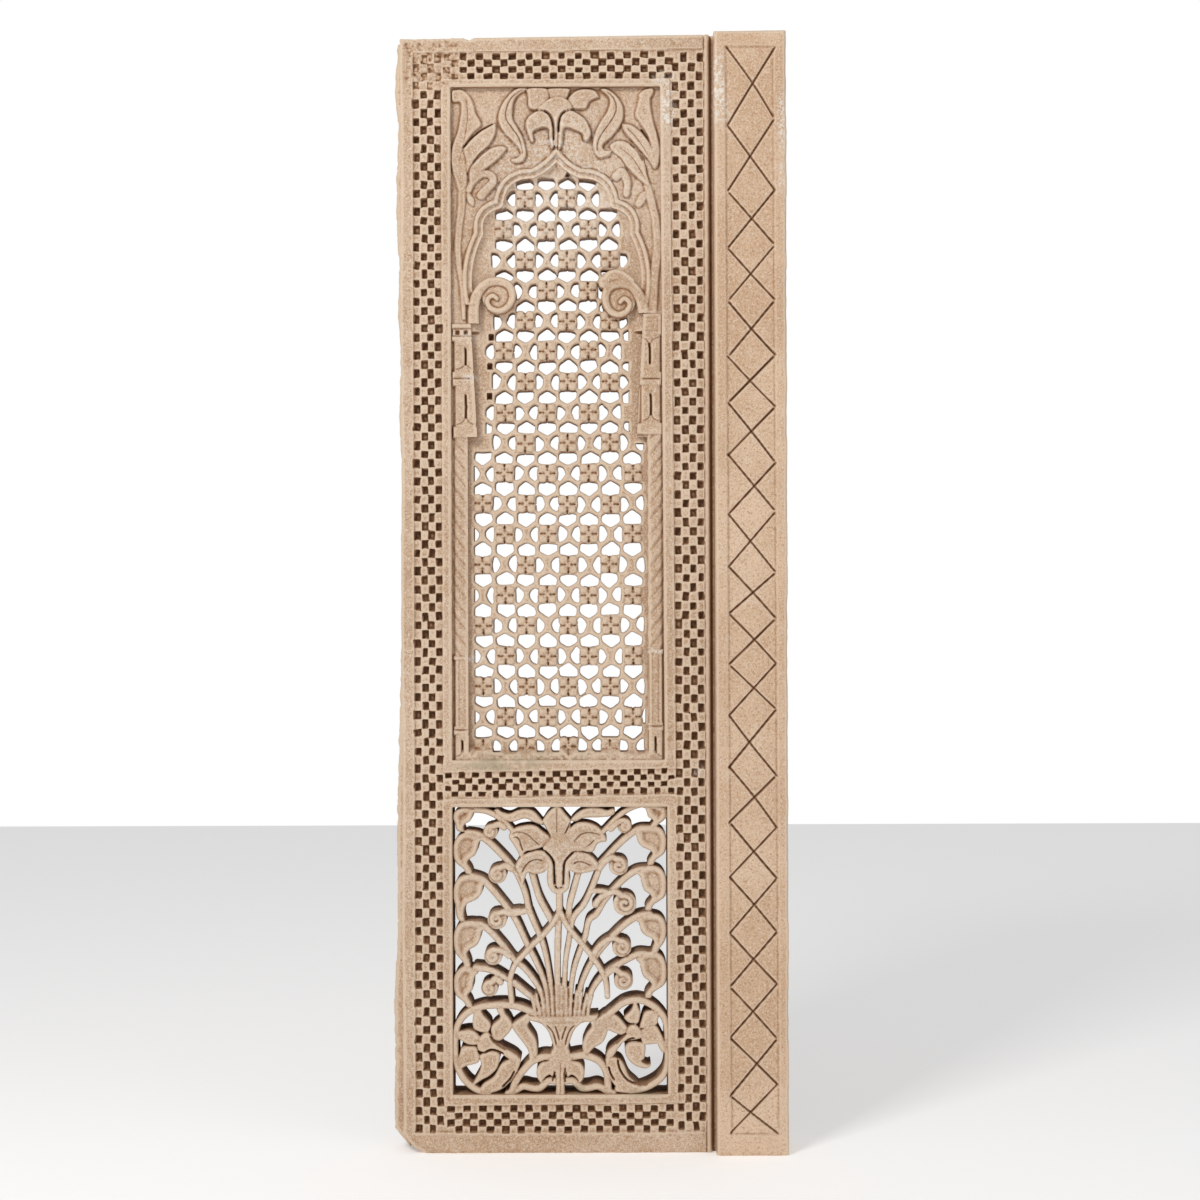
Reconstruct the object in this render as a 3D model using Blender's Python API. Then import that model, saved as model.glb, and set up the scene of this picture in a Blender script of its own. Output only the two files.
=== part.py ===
"""A stone jali panel: one carved slab with a pierced arched window above, a pierced panel of a lily
and curling stalks below, and a flat pilaster strip down the right side.

The front faces -Y, the wall is towards +Y and +Z is up. The origin is at the middle of the underside,
midway between the pilaster's front and the back. Depths are measured back from the main face.
Every figure is in millimetres; MM turns them into Blender's metres where a mesh is made.
"""

from math import cos, hypot, pi, radians, sin

import bmesh
import bpy

MM = 0.001

# Slab
HEIGHT = 1400.0
WIDTH = 495.0
BACK = 56.0
FACE_LEFT = -234.6
TOP_FALL = 5.8

# Pilaster strip and the bead beside it
PILASTER_PROUD = 18.0
PILASTER_LEFT = 156.7
PILASTER_CORNER = 3.0
BEAD_LEFT = 145.0
BEAD_RIGHT = 151.5
GROOVE_DEPTH = 5.0
ARRIS = 1.5
FIELD_LEFT = 171.4
FIELD_RIGHT = 234.0
FIELD_BOTTOM = 25.0
FIELD_TOP = 1381.0
FIELD_DEPTH = 2.0
LOZENGE_PITCH = 65.4
FIRST_LOZENGE_PITCH = 83.0
TOP_CROSSING = 1330.0
LONG_LOZENGES = 2
CROSSINGS = 20
INCISION_WIDTH = 2.2
INCISION_DEPTH = 1.6

# Place of the main face, which leaves as much stone in front of the origin as behind it
MAIN_FACE = (PILASTER_PROUD - BACK) / 2

# Set-back tongue along the left side
TONGUE_FRONT = 14.0
TONGUE_BACK = 50.0
TONGUE_ROOT = -228.0

# Checkered band, whose small pits are finer than these solids
BAND_LEFT = -219.1
BAND_BOTTOM = 25.0
BAND_TOP_LEFT = 1376.6
BAND_TOP_RIGHT = 1382.4
BAND_DEPTH = 1.5
CHIP_DEPTH = 14.0

# Upper window: frame, relief ground and pierced screen
UPPER_AXIS = -39.6
UPPER_LEFT = -171.8
UPPER_RIGHT_TOP = 90.5
UPPER_RIGHT_FOOT = 94.0
UPPER_SILL = 491.5
UPPER_TOP = 1333.8
RAIL = 11.6
UPPER_HEAD_RAIL = 9.2
UPPER_FOOT_SAG = 1.5
GROUND_DEPTH = 9.0
SCREEN_FRONT = 17.0
SCREEN_BACK = 39.0
CARVING_ROOT = 20.0
ARCH_BAND = 9.4
ARCH_FRONT = 4.2
THROAT = 98.0
REVEAL = 112.0
CUSHION = 896.0

# Stone left round the thinned back of the screen
BACK_MARGIN_LEFT = 14.0
BACK_MARGIN_RIGHT = 10.0
BACK_MARGIN_FOOT = -6.0
BACK_MARGIN_TOP = 50.0

# Lattice of flowers and waisted junctions
LATTICE_PITCH = 27.0
LATTICE_ROW = 38.45
LATTICE_TOP_ROW = 1197.4
LATTICE_COLUMNS = 8
LATTICE_ROWS = 19
HOUSE_HALF_WIDTH = 10.8
HOUSE_FLAT = 7.4
HOUSE_SHOULDER = 3.0
HOUSE_APEX = 9.4
DROP_SHIFT = 4.0
DROP_HALF_WIDTH = 6.0
DROP_HALF_HEIGHT = 10.4
HOLE_MARGIN = 1.5

# Half-widths of the pierced field, left and right of the window's axis, above each height
SCREEN_LIMITS = (
    (1225.0, 33.0, 45.0), (1198.0, 62.0, 62.0), (1148.0, 86.0, 86.0), (1108.0, 97.0, 97.0),
    (1030.0, 58.0, 58.0), (888.0, 94.0, 94.0), (0.0, 109.0, 110.0))

# Lower window and the foot of its motif
LOWER_AXIS = -37.7
LOWER_LEFT = -172.1
LOWER_RIGHT = 96.8
LOWER_SILL = 72.9
LOWER_TOP = 432.9
LOWER_HEAD_RAIL_LEFT = 9.0
LOWER_HEAD_RAIL_RIGHT = 16.5
LOWER_FOOT_TILT = 2.0
MOTIF_BACK = 52.0
STALK = 8.6
OGEE_BAND = 6.5
CROSS_BAR = 6.0

# Depth of each kind of carving, measured back from the main face
VOLUTE_FRONT = 2.0
LILY_FRONT = 2.0
SPIRAL_FRONT = 3.0
LEAF_FRONT = 4.0
RING_FRONT = 4.6
STALK_FRONT = 6.0

# Cutters reach this far past what they cut, and pieces that would share a face stand this far apart
CLEAR = 8.0
STAGGER = 0.1


def empty_scene():
    """Remove what the file opens with."""
    for found in list(bpy.data.objects):
        bpy.data.objects.remove(found, do_unlink=True)


def new_collection(name):
    """Make a collection and hang it in the scene."""
    made = bpy.data.collections.new(name)
    bpy.context.scene.collection.children.link(made)
    return made


def sandstone():
    """Warm pinkish beige stone."""
    made = bpy.data.materials.new("sandstone")
    made.use_nodes = True
    shader = made.node_tree.nodes["Principled BSDF"]
    shader.inputs["Base Color"].default_value = (0.61, 0.42, 0.26, 1.0)
    shader.inputs["Roughness"].default_value = 0.9
    shader.inputs["Metallic"].default_value = 0.0
    return made


def filled_mesh(name, loops, thickness):
    """A closed prism from flat outlines; every outline after the first is a hole or a second island."""
    curve = bpy.data.curves.new(name, "CURVE")
    curve.dimensions = "2D"
    curve.fill_mode = "BOTH"
    curve.extrude = thickness * MM / 2
    for loop in loops:
        spline = curve.splines.new("POLY")
        spline.points.add(len(loop) - 1)
        for point, (across, up) in zip(spline.points, loop):
            point.co = (across * MM, up * MM, 0.0, 1.0)
        spline.use_cyclic_u = True
    holder = bpy.data.objects.new(name, curve)
    bpy.context.scene.collection.objects.link(holder)
    evaluated = holder.evaluated_get(bpy.context.evaluated_depsgraph_get())
    mesh = bpy.data.meshes.new_from_object(evaluated)
    bpy.data.objects.remove(holder, do_unlink=True)
    work = bmesh.new()
    work.from_mesh(mesh)
    bmesh.ops.remove_doubles(work, verts=work.verts, dist=0.00001)
    bmesh.ops.recalc_face_normals(work, faces=work.faces)
    work.to_mesh(mesh)
    work.free()
    return mesh


def upright(name, loops, front, back, collection):
    """Stand outlines drawn in (x, z) upright, filling the depth from front to back."""
    made = bpy.data.objects.new(name, filled_mesh(name, loops, back - front))
    made.rotation_euler = (radians(90.0), 0.0, 0.0)
    made.location = (0.0, (MAIN_FACE + (front + back) / 2) * MM, 0.0)
    collection.objects.link(made)
    return made


def standing(name, section, height, collection):
    """Run a plan section drawn in (x, y) straight up from the ground."""
    made = bpy.data.objects.new(name, filled_mesh(name, [section], height))
    made.location = (0.0, MAIN_FACE * MM, height / 2 * MM)
    collection.objects.link(made)
    return made


def hide_tool(tool):
    """Mark an object that cuts or joins another, and isn't seen itself."""
    tool.hide_render = True
    tool.display_type = "WIRE"


def boolean(target, tools, operation, name):
    """Add one exact Boolean that uses a whole collection of tools."""
    for tool in tools.objects:
        hide_tool(tool)
    modifier = target.modifiers.new(name, "BOOLEAN")
    modifier.operation = operation
    modifier.operand_type = "COLLECTION"
    modifier.collection = tools
    modifier.solver = "EXACT"


def box(left, right, bottom, top):
    """A rectangle as an outline."""
    return [(left, bottom), (right, bottom), (right, top), (left, top)]


def oval(centre, half_width, half_height, sides, start=0.0):
    """A regular or stretched polygon around a centre."""
    across, up = centre
    points = []
    for step in range(sides):
        angle = start + 2 * pi * step / sides
        points.append((across + half_width * cos(angle), up + half_height * sin(angle)))
    return points


def swung(start, end, bulge, steps):
    """Points on the arc from start to end that swells by bulge to its left; the end is left out."""
    run, rise = end[0] - start[0], end[1] - start[1]
    length = hypot(run, rise)
    normal = (-rise / length, run / length)
    points = []
    for step in range(steps):
        share = step / steps
        swell = bulge * 4 * share * (1 - share)
        points.append((start[0] + run * share + normal[0] * swell,
                       start[1] + rise * share + normal[1] * swell))
    return points


def ribbon(spine, width, end_width=None):
    """The outline of a band of stone that follows a spine, tapering if it has an end width."""
    end_width = width if end_width is None else end_width
    last = len(spine) - 1
    left, right = [], []
    for index, (across, up) in enumerate(spine):
        before = spine[max(index - 1, 0)]
        after = spine[min(index + 1, last)]
        run, rise = after[0] - before[0], after[1] - before[1]
        length = hypot(run, rise)
        half = (width + (end_width - width) * index / last) / 2
        left.append((across - rise / length * half, up + run / length * half))
        right.append((across + rise / length * half, up - run / length * half))
    return left + right[::-1]


def petal(root, tip, width, bend=0.0, fullest=0.55):
    """A six-sided leaf from root to tip, fullest part-way along, bent to its left."""
    run, rise = tip[0] - root[0], tip[1] - root[1]
    length = hypot(run, rise)
    along = (run / length, rise / length)
    side = (-along[1], along[0])

    def place(share, offset):
        reach = share * length
        swell = bend * 4 * share * (1 - share)
        return (root[0] + along[0] * reach + side[0] * (offset + swell),
                root[1] + along[1] * reach + side[1] * (offset + swell))

    half = width / 2
    return [place(0.0, -half * 0.5), place(fullest, -half), place(0.95, -half * 0.3),
            place(0.95, half * 0.3), place(fullest, half), place(0.0, half * 0.5)]


def shifted(points, across, up=0.0):
    """Move a drawing made about its own axis to its place on the slab."""
    return [(x + across, z + up) for x, z in points]


def mirrored(points):
    """Turn a drawing about its axis, keeping its winding."""
    return [(-x, z) for x, z in points][::-1]


def slab_section():
    """Plan of the stone, run up its whole height: main face, bead, groove and pilaster."""
    right = WIDTH / 2
    front = -PILASTER_PROUD
    corner = PILASTER_CORNER
    bead_middle = (BEAD_LEFT + BEAD_RIGHT) / 2
    return [
        (FACE_LEFT, BACK), (FACE_LEFT, ARRIS), (FACE_LEFT + ARRIS, 0.0),
        (BEAD_LEFT - 2.0, 0.0), (BEAD_LEFT - 1.0, BAND_DEPTH), (BEAD_LEFT, 0.8), (bead_middle, -0.8),
        (BEAD_RIGHT, 1.0), (BEAD_RIGHT + 1.0, GROOVE_DEPTH), (PILASTER_LEFT, GROOVE_DEPTH),
        (PILASTER_LEFT, front + corner), (PILASTER_LEFT + corner, front),
        (right - corner, front), (right, front + corner), (right, BACK)]


def slope_top(slab):
    """The upper end isn't square: it falls towards the left."""
    for vertex in slab.data.vertices:
        if vertex.co.z > 0:
            share = (WIDTH / 2 - vertex.co.x / MM) / WIDTH
            vertex.co.z -= TOP_FALL * share * MM


def tongue_outline():
    """Rough set-back edge that shows beyond the face on the left."""
    edge = [(-247.5, 28), (-247.5, 184), (-242, 285), (-243, 410), (-240.5, 514), (-233.6, 733),
            (-237, 773), (-233.4, 812), (-238, 920), (-236, 1010), (-239.4, 1048), (-237.5, 1105),
            (-241.8, 1183), (-238.6, 1285), (-243, 1333), (-238.4, 1391)]
    return [(TONGUE_ROOT, 3.0)] + edge + [(TONGUE_ROOT, 1391)]


def broken_corner():
    """What is missing from the bottom left corner."""
    return [(-260, 29), (-247.5, 28), (-241, 17.5), (-233.5, 24), (-227, 14.7), (-220.6, 7.3),
            (-206, -1), (-206, -20), (-260, -20)]


def top_chip():
    """A small chip in the upper edge."""
    return [(-158, 1410), (-156, 1395.5), (-148, 1391.5), (-140, 1396), (-139, 1410)]


def upper_window():
    """Outline inside the upper frame, a little wider at its foot."""
    return [(UPPER_LEFT, UPPER_SILL), (UPPER_RIGHT_FOOT, UPPER_SILL),
            (UPPER_RIGHT_TOP, UPPER_TOP), (UPPER_LEFT, UPPER_TOP)]


def lower_window():
    """Outline inside the lower frame."""
    return box(LOWER_LEFT, LOWER_RIGHT, LOWER_SILL, LOWER_TOP)


def checker_band():
    """The sunk band, with both frames left standing in it."""
    outer = [(BAND_LEFT, BAND_BOTTOM), (BEAD_LEFT - 1.0, BAND_BOTTOM),
             (BEAD_LEFT - 1.0, BAND_TOP_RIGHT), (BAND_LEFT, BAND_TOP_LEFT)]
    upper_head = UPPER_TOP + UPPER_HEAD_RAIL
    upper_foot = UPPER_SILL - RAIL
    lower_foot = LOWER_SILL - RAIL
    upper = [(UPPER_LEFT - RAIL, upper_foot - UPPER_FOOT_SAG), (UPPER_RIGHT_FOOT + RAIL, upper_foot),
             (UPPER_RIGHT_TOP + RAIL, upper_head), (UPPER_LEFT - RAIL, upper_head)]
    lower = [(LOWER_LEFT - RAIL, lower_foot - LOWER_FOOT_TILT),
             (LOWER_RIGHT + RAIL, lower_foot + LOWER_FOOT_TILT),
             (LOWER_RIGHT + RAIL, LOWER_TOP + LOWER_HEAD_RAIL_RIGHT),
             (LOWER_LEFT - RAIL, LOWER_TOP + LOWER_HEAD_RAIL_LEFT)]
    return [outer, upper, lower]


def arch_half():
    """Left half of the arch band's middle line, foot to apex: three foils and the pointed crown."""
    foot, cusp_low, cusp_mid, cusp_high = (-109, 1060), (-99.5, 1156), (-74, 1192), (-31, 1226)
    apex = (0, 1251)
    line = swung(foot, cusp_low, 8.5, 3)
    line += swung(cusp_low, cusp_mid, 7.5, 2)
    line += swung(cusp_mid, cusp_high, 11.0, 3)
    line += swung(cusp_high, apex, -2.5, 2)
    return line + [apex]


def arch_line():
    """The whole middle line of the arch band, left foot to right foot."""
    left = arch_half()
    return left + [(-x, z) for x, z in left[-2::-1]]


def screen_pocket():
    """Recess down to the pierced screen: the arch, and the opening between the shafts below it."""
    floor = UPPER_SILL - 1.0
    right = REVEAL + 2.0
    below = [(-THROAT, CUSHION), (-REVEAL, CUSHION), (-REVEAL, floor),
             (right, floor), (right, CUSHION), (THROAT, CUSHION)]
    return shifted(arch_line()[::-1] + below, UPPER_AXIS)


def screen_limits(height):
    """Half-widths of the pierced field at one height."""
    for above, left, right in SCREEN_LIMITS:
        if height > above:
            return left, right
    return 0.0, 0.0


def house(across, up, flower_above):
    """An opening between a flower, on its flat side, and a junction, where it comes to a point."""
    way = 1.0 if flower_above else -1.0
    return [(across - HOUSE_HALF_WIDTH, up + way * HOUSE_FLAT),
            (across + HOUSE_HALF_WIDTH, up + way * HOUSE_FLAT),
            (across + HOUSE_HALF_WIDTH, up - way * HOUSE_SHOULDER),
            (across, up - way * HOUSE_APEX),
            (across - HOUSE_HALF_WIDTH, up - way * HOUSE_SHOULDER)]


def drop(across, up, flower_left):
    """The narrow pointed opening beside a flower, pushed towards the junction next to it."""
    middle = across + (DROP_SHIFT if flower_left else -DROP_SHIFT)
    return oval((middle, up), DROP_HALF_WIDTH, DROP_HALF_HEIGHT, 4)


def inside_screen(hole):
    """True when a whole opening fits in the pierced field."""
    for across, up in hole:
        left, right = screen_limits(up)
        if not HOLE_MARGIN - left < across < right - HOLE_MARGIN:
            return False
    return True


def screen_holes():
    """Every opening of the lattice. Flowers sit where column plus row is even, junctions elsewhere."""
    holes = []
    for row in range(-1, LATTICE_ROWS):
        level = LATTICE_TOP_ROW - LATTICE_ROW * row
        for column in range(LATTICE_COLUMNS):
            across = (column - (LATTICE_COLUMNS - 1) / 2) * LATTICE_PITCH
            flower = (column + row) % 2 == 0
            if row < LATTICE_ROWS - 1:
                holes.append(house(across, level - LATTICE_ROW / 2, flower))
            if 0 <= row < LATTICE_ROWS - 1:
                holes.append(drop(across + LATTICE_PITCH / 2, level, flower))
    return [shifted(hole, UPPER_AXIS) for hole in holes if inside_screen(hole)]


def spandrel_leaves():
    """Left-hand leaves of the spandrel, about the window's axis; the right-hand ones mirror them."""
    tall = [(-126, 1198), (-128, 1255), (-129, 1320), (-122, 1329), (-110, 1305), (-94, 1290),
            (-112, 1262), (-119, 1225)]
    upper_side = petal((-118, 1253), (-76, 1288), 14, 3)
    lower_side = petal((-103, 1236), (-62, 1257), 15, 4)
    curled = ribbon([(-108, 1196), (-100, 1212), (-88, 1220), (-77, 1213)], 15, 9)
    drop_leaf = petal((-113, 1200), (-102, 1184), 9)
    stem = ribbon([(-118, 1205), (-126, 1150), (-124, 1082)], 10, 5)
    sway = ribbon([(-46, 1330), (-66, 1312), (-66, 1290), (-50, 1262), (-56, 1243)], 15, 8)
    return [tall, upper_side, lower_side, curled, drop_leaf, stem, sway]


def spandrel_lily():
    """The lily above the arch: bud, cap, side petals, drooping petals and tongue."""
    bud = [(-9, 1334.5), (-9, 1326), (3, 1320), (15, 1326), (15, 1334.5)]
    cap = [(-20, 1306), (-10, 1322), (8, 1322), (18, 1306), (5, 1297), (5, 1248), (-5, 1248), (-6, 1297)]
    side = petal((8, 1313), (50, 1322), 24, -2)
    hanging = [(8, 1306), (24, 1310), (40, 1299), (44, 1268), (36, 1266), (31, 1279), (18, 1282), (7, 1272)]
    return [bud, cap, side, mirrored(side), hanging, mirrored(hanging)]


def colonnette(side, drops):
    """Blocks of one colonnette as outlines with their front depth, from capital to base."""
    blocks = []
    for top, bottom, inner, outer, front in drops:
        blocks.append((box(*sorted((side * inner, side * outer)), bottom, top), front))
    return blocks


LEFT_COLONNETTE = (
    (1038.0, 1016.0, 96.0, 132.5, 3.0), (1016.5, 977.5, 103.0, 129.0, 6.0),
    (978.0, 960.0, 97.0, 132.0, 3.5), (960.5, 908.5, 104.0, 127.0, 6.0),
    (909.0, 895.0, 97.5, 130.0, 3.5), (895.5, 621.0, 110.5, 129.0, 5.0),
    (621.5, 616.5, 109.0, 130.5, 3.8), (617.0, 533.0, 111.0, 129.0, 5.2),
    (533.5, 523.0, 108.0, 131.0, 4.0), (523.5, 490.0, 111.0, 129.0, 5.4))

RIGHT_COLONNETTE = (
    (1050.5, 1023.0, 99.5, 131.5, 3.0), (1023.5, 976.5, 102.5, 130.0, 6.0),
    (977.0, 960.0, 96.0, 131.5, 3.5), (960.5, 912.5, 105.0, 130.0, 6.0),
    (913.0, 898.5, 97.0, 132.0, 3.5), (899.0, 629.0, 113.0, 131.5, 5.0),
    (629.5, 624.0, 111.5, 132.5, 3.8), (624.5, 537.5, 113.5, 131.5, 5.2),
    (538.0, 528.0, 110.5, 132.5, 4.0), (528.5, 490.0, 113.0, 131.5, 5.4))


def volute(centre, radius, foot):
    """A curling bracket: a stem that rises from the capital, bends over and ends in a disc."""
    across, up = centre
    side = 1.0 if foot[0] > across else -1.0
    stem = ribbon([foot, (foot[0] + side * 1.5, up - 2), (across + side * radius * 0.95, up + radius * 0.75),
                   (across, up + radius * 0.8)], 14, 12)
    return [stem, oval(centre, radius, radius, 8, 0.3)]


# Tips, bends and roots of the stalks, about the lower window's axis and sill, outermost first
LEFT_STALKS = (
    ((-122, 356), (-91, 354), (-73, 343), (-56, 326)),
    ((-115, 327), (-87, 314), (-63, 289), (-44, 252), (-31, 212), (-17, 165), (-10, 112)),
    ((-111, 273), (-85, 256), (-61, 226), (-43, 191), (-17, 110)),
    ((-111, 213), (-87, 203), (-58, 169), (-31, 138), (-20, 108)),
    ((-106, 157), (-77, 151), (-61, 140)),
    ((-58, 139), (-40, 124), (-24, 104)))

RIGHT_STALKS = (
    ((119, 361), (103, 361), (75, 348), (54, 328)),
    ((113, 332), (84, 321), (58, 296), (39, 255), (16, 217), (10, 186), (4, 112)),
    ((110, 281), (84, 271), (59, 246), (34, 205), (19, 160), (12, 110)),
    ((113, 224), (84, 213), (58, 189), (39, 163), (20, 108)),
    ((113, 173), (84, 168), (58, 152), (44, 134), (28, 106)))

LEFT_HOOKS = ((358.0, 28.0), (329.0, 51.0), (275.0, 56.0), (215.0, 53.0), (159.0, 50.0))
RIGHT_HOOKS = ((364.0, 36.0), (334.0, 48.0), (283.0, 56.0), (226.0, 51.0), (175.0, 56.0))

# Spirals: centre across and up, radius, and the point of the stalk that each one curls off
LEFT_SPIRALS = (
    (-86, 329, 11.5, (-73, 343)), (-78, 275.5, 14.5, (-60, 285)), (-81, 217.5, 13.0, (-58, 222)),
    (-84, 171, 13.5, (-66, 178)), (-88, 133, 12.0, (-76, 149)))

RIGHT_SPIRALS = (
    (81, 335, 11.0, (74, 348)), (73, 285, 13.5, (57, 292)), (80, 236, 16.0, (58, 244)),
    (77, 184, 13.5, (58, 188)), (81, 143, 13.5, (60, 152)))


def hook(side, top, height):
    """The leaf that ends a stalk: it turns down along the frame and folds back inwards."""
    lip = height * 0.55
    drawn = [(108, top), (126, top - 4), (135.5, top - 15), (135.5, top - height * 0.6),
             (128, top - height), (118, top - height - 3), (116, top - lip - 5), (106, top - lip),
             (102, top - lip * 0.4)]
    return drawn if side > 0 else mirrored(drawn)


def stalk_work():
    """Stalks, hooked leaves, spirals and the ogee band that gathers them."""
    pieces = []
    for spine in LEFT_STALKS + RIGHT_STALKS:
        pieces.append((ribbon(spine, STALK, STALK * 0.75), STALK_FRONT))
    for side, hooks in ((-1, LEFT_HOOKS), (1, RIGHT_HOOKS)):
        for top, height in hooks:
            pieces.append((hook(side, top, height), LEAF_FRONT))
    for across, up, radius, arm in LEFT_SPIRALS + RIGHT_SPIRALS:
        pieces.append((oval((across, up), radius, radius, 7, 0.2), SPIRAL_FRONT))
        pieces.append((ribbon([arm, (across, up + radius * 0.5)], STALK), SPIRAL_FRONT + 0.4))
    spear = ribbon([(0, 226), (-3, 195), (-3, 112)], 9, 7)
    pieces.append((spear, STALK_FRONT - 0.6))
    pieces.append((ribbon([(-62, 112), (-62, 146), (-45, 176), (-20, 203), (0, 226)], OGEE_BAND), RING_FRONT))
    right_ogee = ribbon([(59, 118), (56, 146), (40, 171), (19, 198), (0, 226)], OGEE_BAND)
    pieces.append((right_ogee, RING_FRONT + 2 * STAGGER))
    pieces.append((ribbon([(-62, 231), (-38, 228)], CROSS_BAR), STALK_FRONT + 4 * STAGGER))
    pieces.append((ribbon([(40, 254), (60, 252)], CROSS_BAR), STALK_FRONT + 4 * STAGGER))
    return pieces


def top_lily():
    """The large lily under the upper rail."""
    bud = [(-5, 364), (-22, 342.5), (-11, 321), (8, 325), (13.5, 343.5)]
    long_leaf = ribbon([(-84, 362), (-60, 350), (-40, 352), (-18, 338)], 10, 12)
    side_left = [(-65, 321), (-49, 336), (-29, 336), (-10, 318), (-22, 307), (-44, 303), (-54, 305)]
    cup = [(-21, 309), (-18, 285), (-16, 262), (-7, 253), (3, 253), (11, 262), (13, 285), (21.4, 308),
           (8, 325), (-11, 321)]
    curl_left = [(-56, 279), (-49, 292), (-34, 300), (-18, 300), (-13, 278), (-28, 270), (-42, 273),
                 (-48, 263)]
    stem = ribbon([(-1, 256), (-1, 222)], 8)
    prop_left = ribbon([(-36, 278), (-27, 248), (-9, 214)], 8)
    prop_right = ribbon([(30, 280), (12, 245), (10, 214)], 8)
    return [(bud, 3.0), (cup, LILY_FRONT), (long_leaf, 5.0), (mirrored(long_leaf), 5.0),
            (side_left, LEAF_FRONT - 0.5), (mirrored(side_left), LEAF_FRONT - 0.5),
            (curl_left, LEAF_FRONT - 1.0), (mirrored(curl_left), LEAF_FRONT - 1.0),
            (stem, 5.2), (prop_left, STALK_FRONT + 1.0), (prop_right, STALK_FRONT + 1.0)]


def vase():
    """Shallow vase that the stalks stand in, with a curling leaf on each side."""
    roots = [(-33, 94), (-27, 119), (33, 120), (37, 94)]
    rim = [(-41, 100), (48, 100), (43, 88), (-36, 88)]
    bowl = [(-30, 90), (-17, 80), (-12, 64), (-6, 54), (-6, 40), (7, 40), (7, 54), (15, 64), (19, 80),
            (31, 90)]
    left_leaf = [(-38, 103), (-58, 90), (-60, 80), (-52, 64), (-40, 38), (-29, 44), (-31, 62), (-43, 85),
                 (-34, 94)]
    right_leaf = [(46, 103), (56, 98), (58, 84), (54, 70), (34, 46), (28, 52), (33, 78), (46, 89)]
    return [(roots, STALK_FRONT - 0.4), (rim, LEAF_FRONT - 0.6), (bowl, LEAF_FRONT),
            (left_leaf, LEAF_FRONT + 0.4), (right_leaf, LEAF_FRONT + 0.4)]


def ring(centre, half_width, half_height, start, sweep, steps):
    """Part of a stretched ring, as a ribbon."""
    across, up = centre
    spine = []
    for step in range(steps + 1):
        angle = radians(start + sweep * step / steps)
        spine.append((across + half_width * cos(angle), up + half_height * sin(angle)))
    return ribbon(spine, STALK)


def roundels():
    """The ring, lily and crescent in each lower corner."""
    left_ring = ring((-85, 57), 48, 55.5, 58, 262, 10)
    right_ring = ring((92, 63), 41.5, 59.5, 146, -300, 11)
    left_lily = [petal((-92, 72), (-133, 78), 17), petal((-95, 74), (-110, 106), 17, -2),
                 petal((-92, 72), (-76, 106), 15, 3), petal((-90, 62), (-132, 36), 17, -2),
                 petal((-88, 62), (-110, 14), 20, 4), petal((-100, 76), (-54, 48), 24)]
    right_lily = [petal((92, 80), (55, 94), 17), petal((94, 78), (93, 120), 15),
                  petal((94, 78), (125, 106), 15), petal((92, 74), (132, 50), 14, 9),
                  petal((86, 66), (112, 32), 20, -3), petal((98, 82), (64, 50), 22)]
    left_crescent = petal((-52, 42), (-104, 3), 17, -9, 0.45)
    right_crescent = petal((58, 44), (98, 4), 18, -9, 0.4)
    pieces = [(left_ring, RING_FRONT), (right_ring, RING_FRONT)]
    pieces += [(outline, LEAF_FRONT) for outline in left_lily + right_lily]
    pieces += [(left_crescent, RING_FRONT - 1.0), (right_crescent, RING_FRONT - 1.0)]
    return pieces


def foot_lily():
    """The upside-down lily at the foot, with branches to both roundels."""
    body = [(-15, 46), (15, 46), (11, 30), (4.5, 22), (4.5, -3), (-5, -3), (-5, 22), (-13, 30)]
    droop_left = petal((-9, 38), (-27, 12), 12, 4)
    droop_right = petal((9, 38), (28, 12), 12, -4)
    branch_left = ribbon([(-8, 44), (-31, 42), (-49, 26), (-64, 2)], 9)
    branch_right = ribbon([(10, 42), (36, 47), (51, 40), (60, 20), (60, -2)], 9)
    floor_left = ribbon([(-2, 10), (-22, 15), (-45, 7), (-64, 2)], 8)
    return [(body, LEAF_FRONT), (droop_left, LEAF_FRONT + 0.6), (droop_right, LEAF_FRONT + 0.6),
            (branch_left, STALK_FRONT), (branch_right, STALK_FRONT), (floor_left, STALK_FRONT + 0.8),
            (mirrored(floor_left), STALK_FRONT + 0.8)]


def crossing(index):
    """Height at which the two incised zigzags of the pilaster cross; the upper lozenges are longer."""
    if index < LONG_LOZENGES:
        return TOP_CROSSING - FIRST_LOZENGE_PITCH * index
    lower = TOP_CROSSING - FIRST_LOZENGE_PITCH * LONG_LOZENGES
    return lower - LOZENGE_PITCH * (index - LONG_LOZENGES)


def zigzag(side):
    """One incised line that swings across the pilaster's field from top to bottom."""
    middle = (FIELD_LEFT + FIELD_RIGHT) / 2
    reach = (FIELD_RIGHT - FIELD_LEFT) / 2 - 3.0
    spine = [(middle + side * reach, FIELD_TOP - 4.0)]
    for index in range(CROSSINGS - 1):
        turn = (crossing(index) + crossing(index + 1)) / 2
        side = -side
        spine.append((middle + side * reach, turn))
    spine.append((middle - side * reach, FIELD_BOTTOM + 4.0))
    return ribbon(spine, INCISION_WIDTH)


def back_pocket():
    """Where the back is cut away so that the screen is thinner than its frame."""
    return box(UPPER_LEFT + BACK_MARGIN_LEFT, UPPER_RIGHT_TOP - BACK_MARGIN_RIGHT,
               UPPER_SILL + BACK_MARGIN_FOOT, UPPER_TOP - BACK_MARGIN_TOP)


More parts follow.
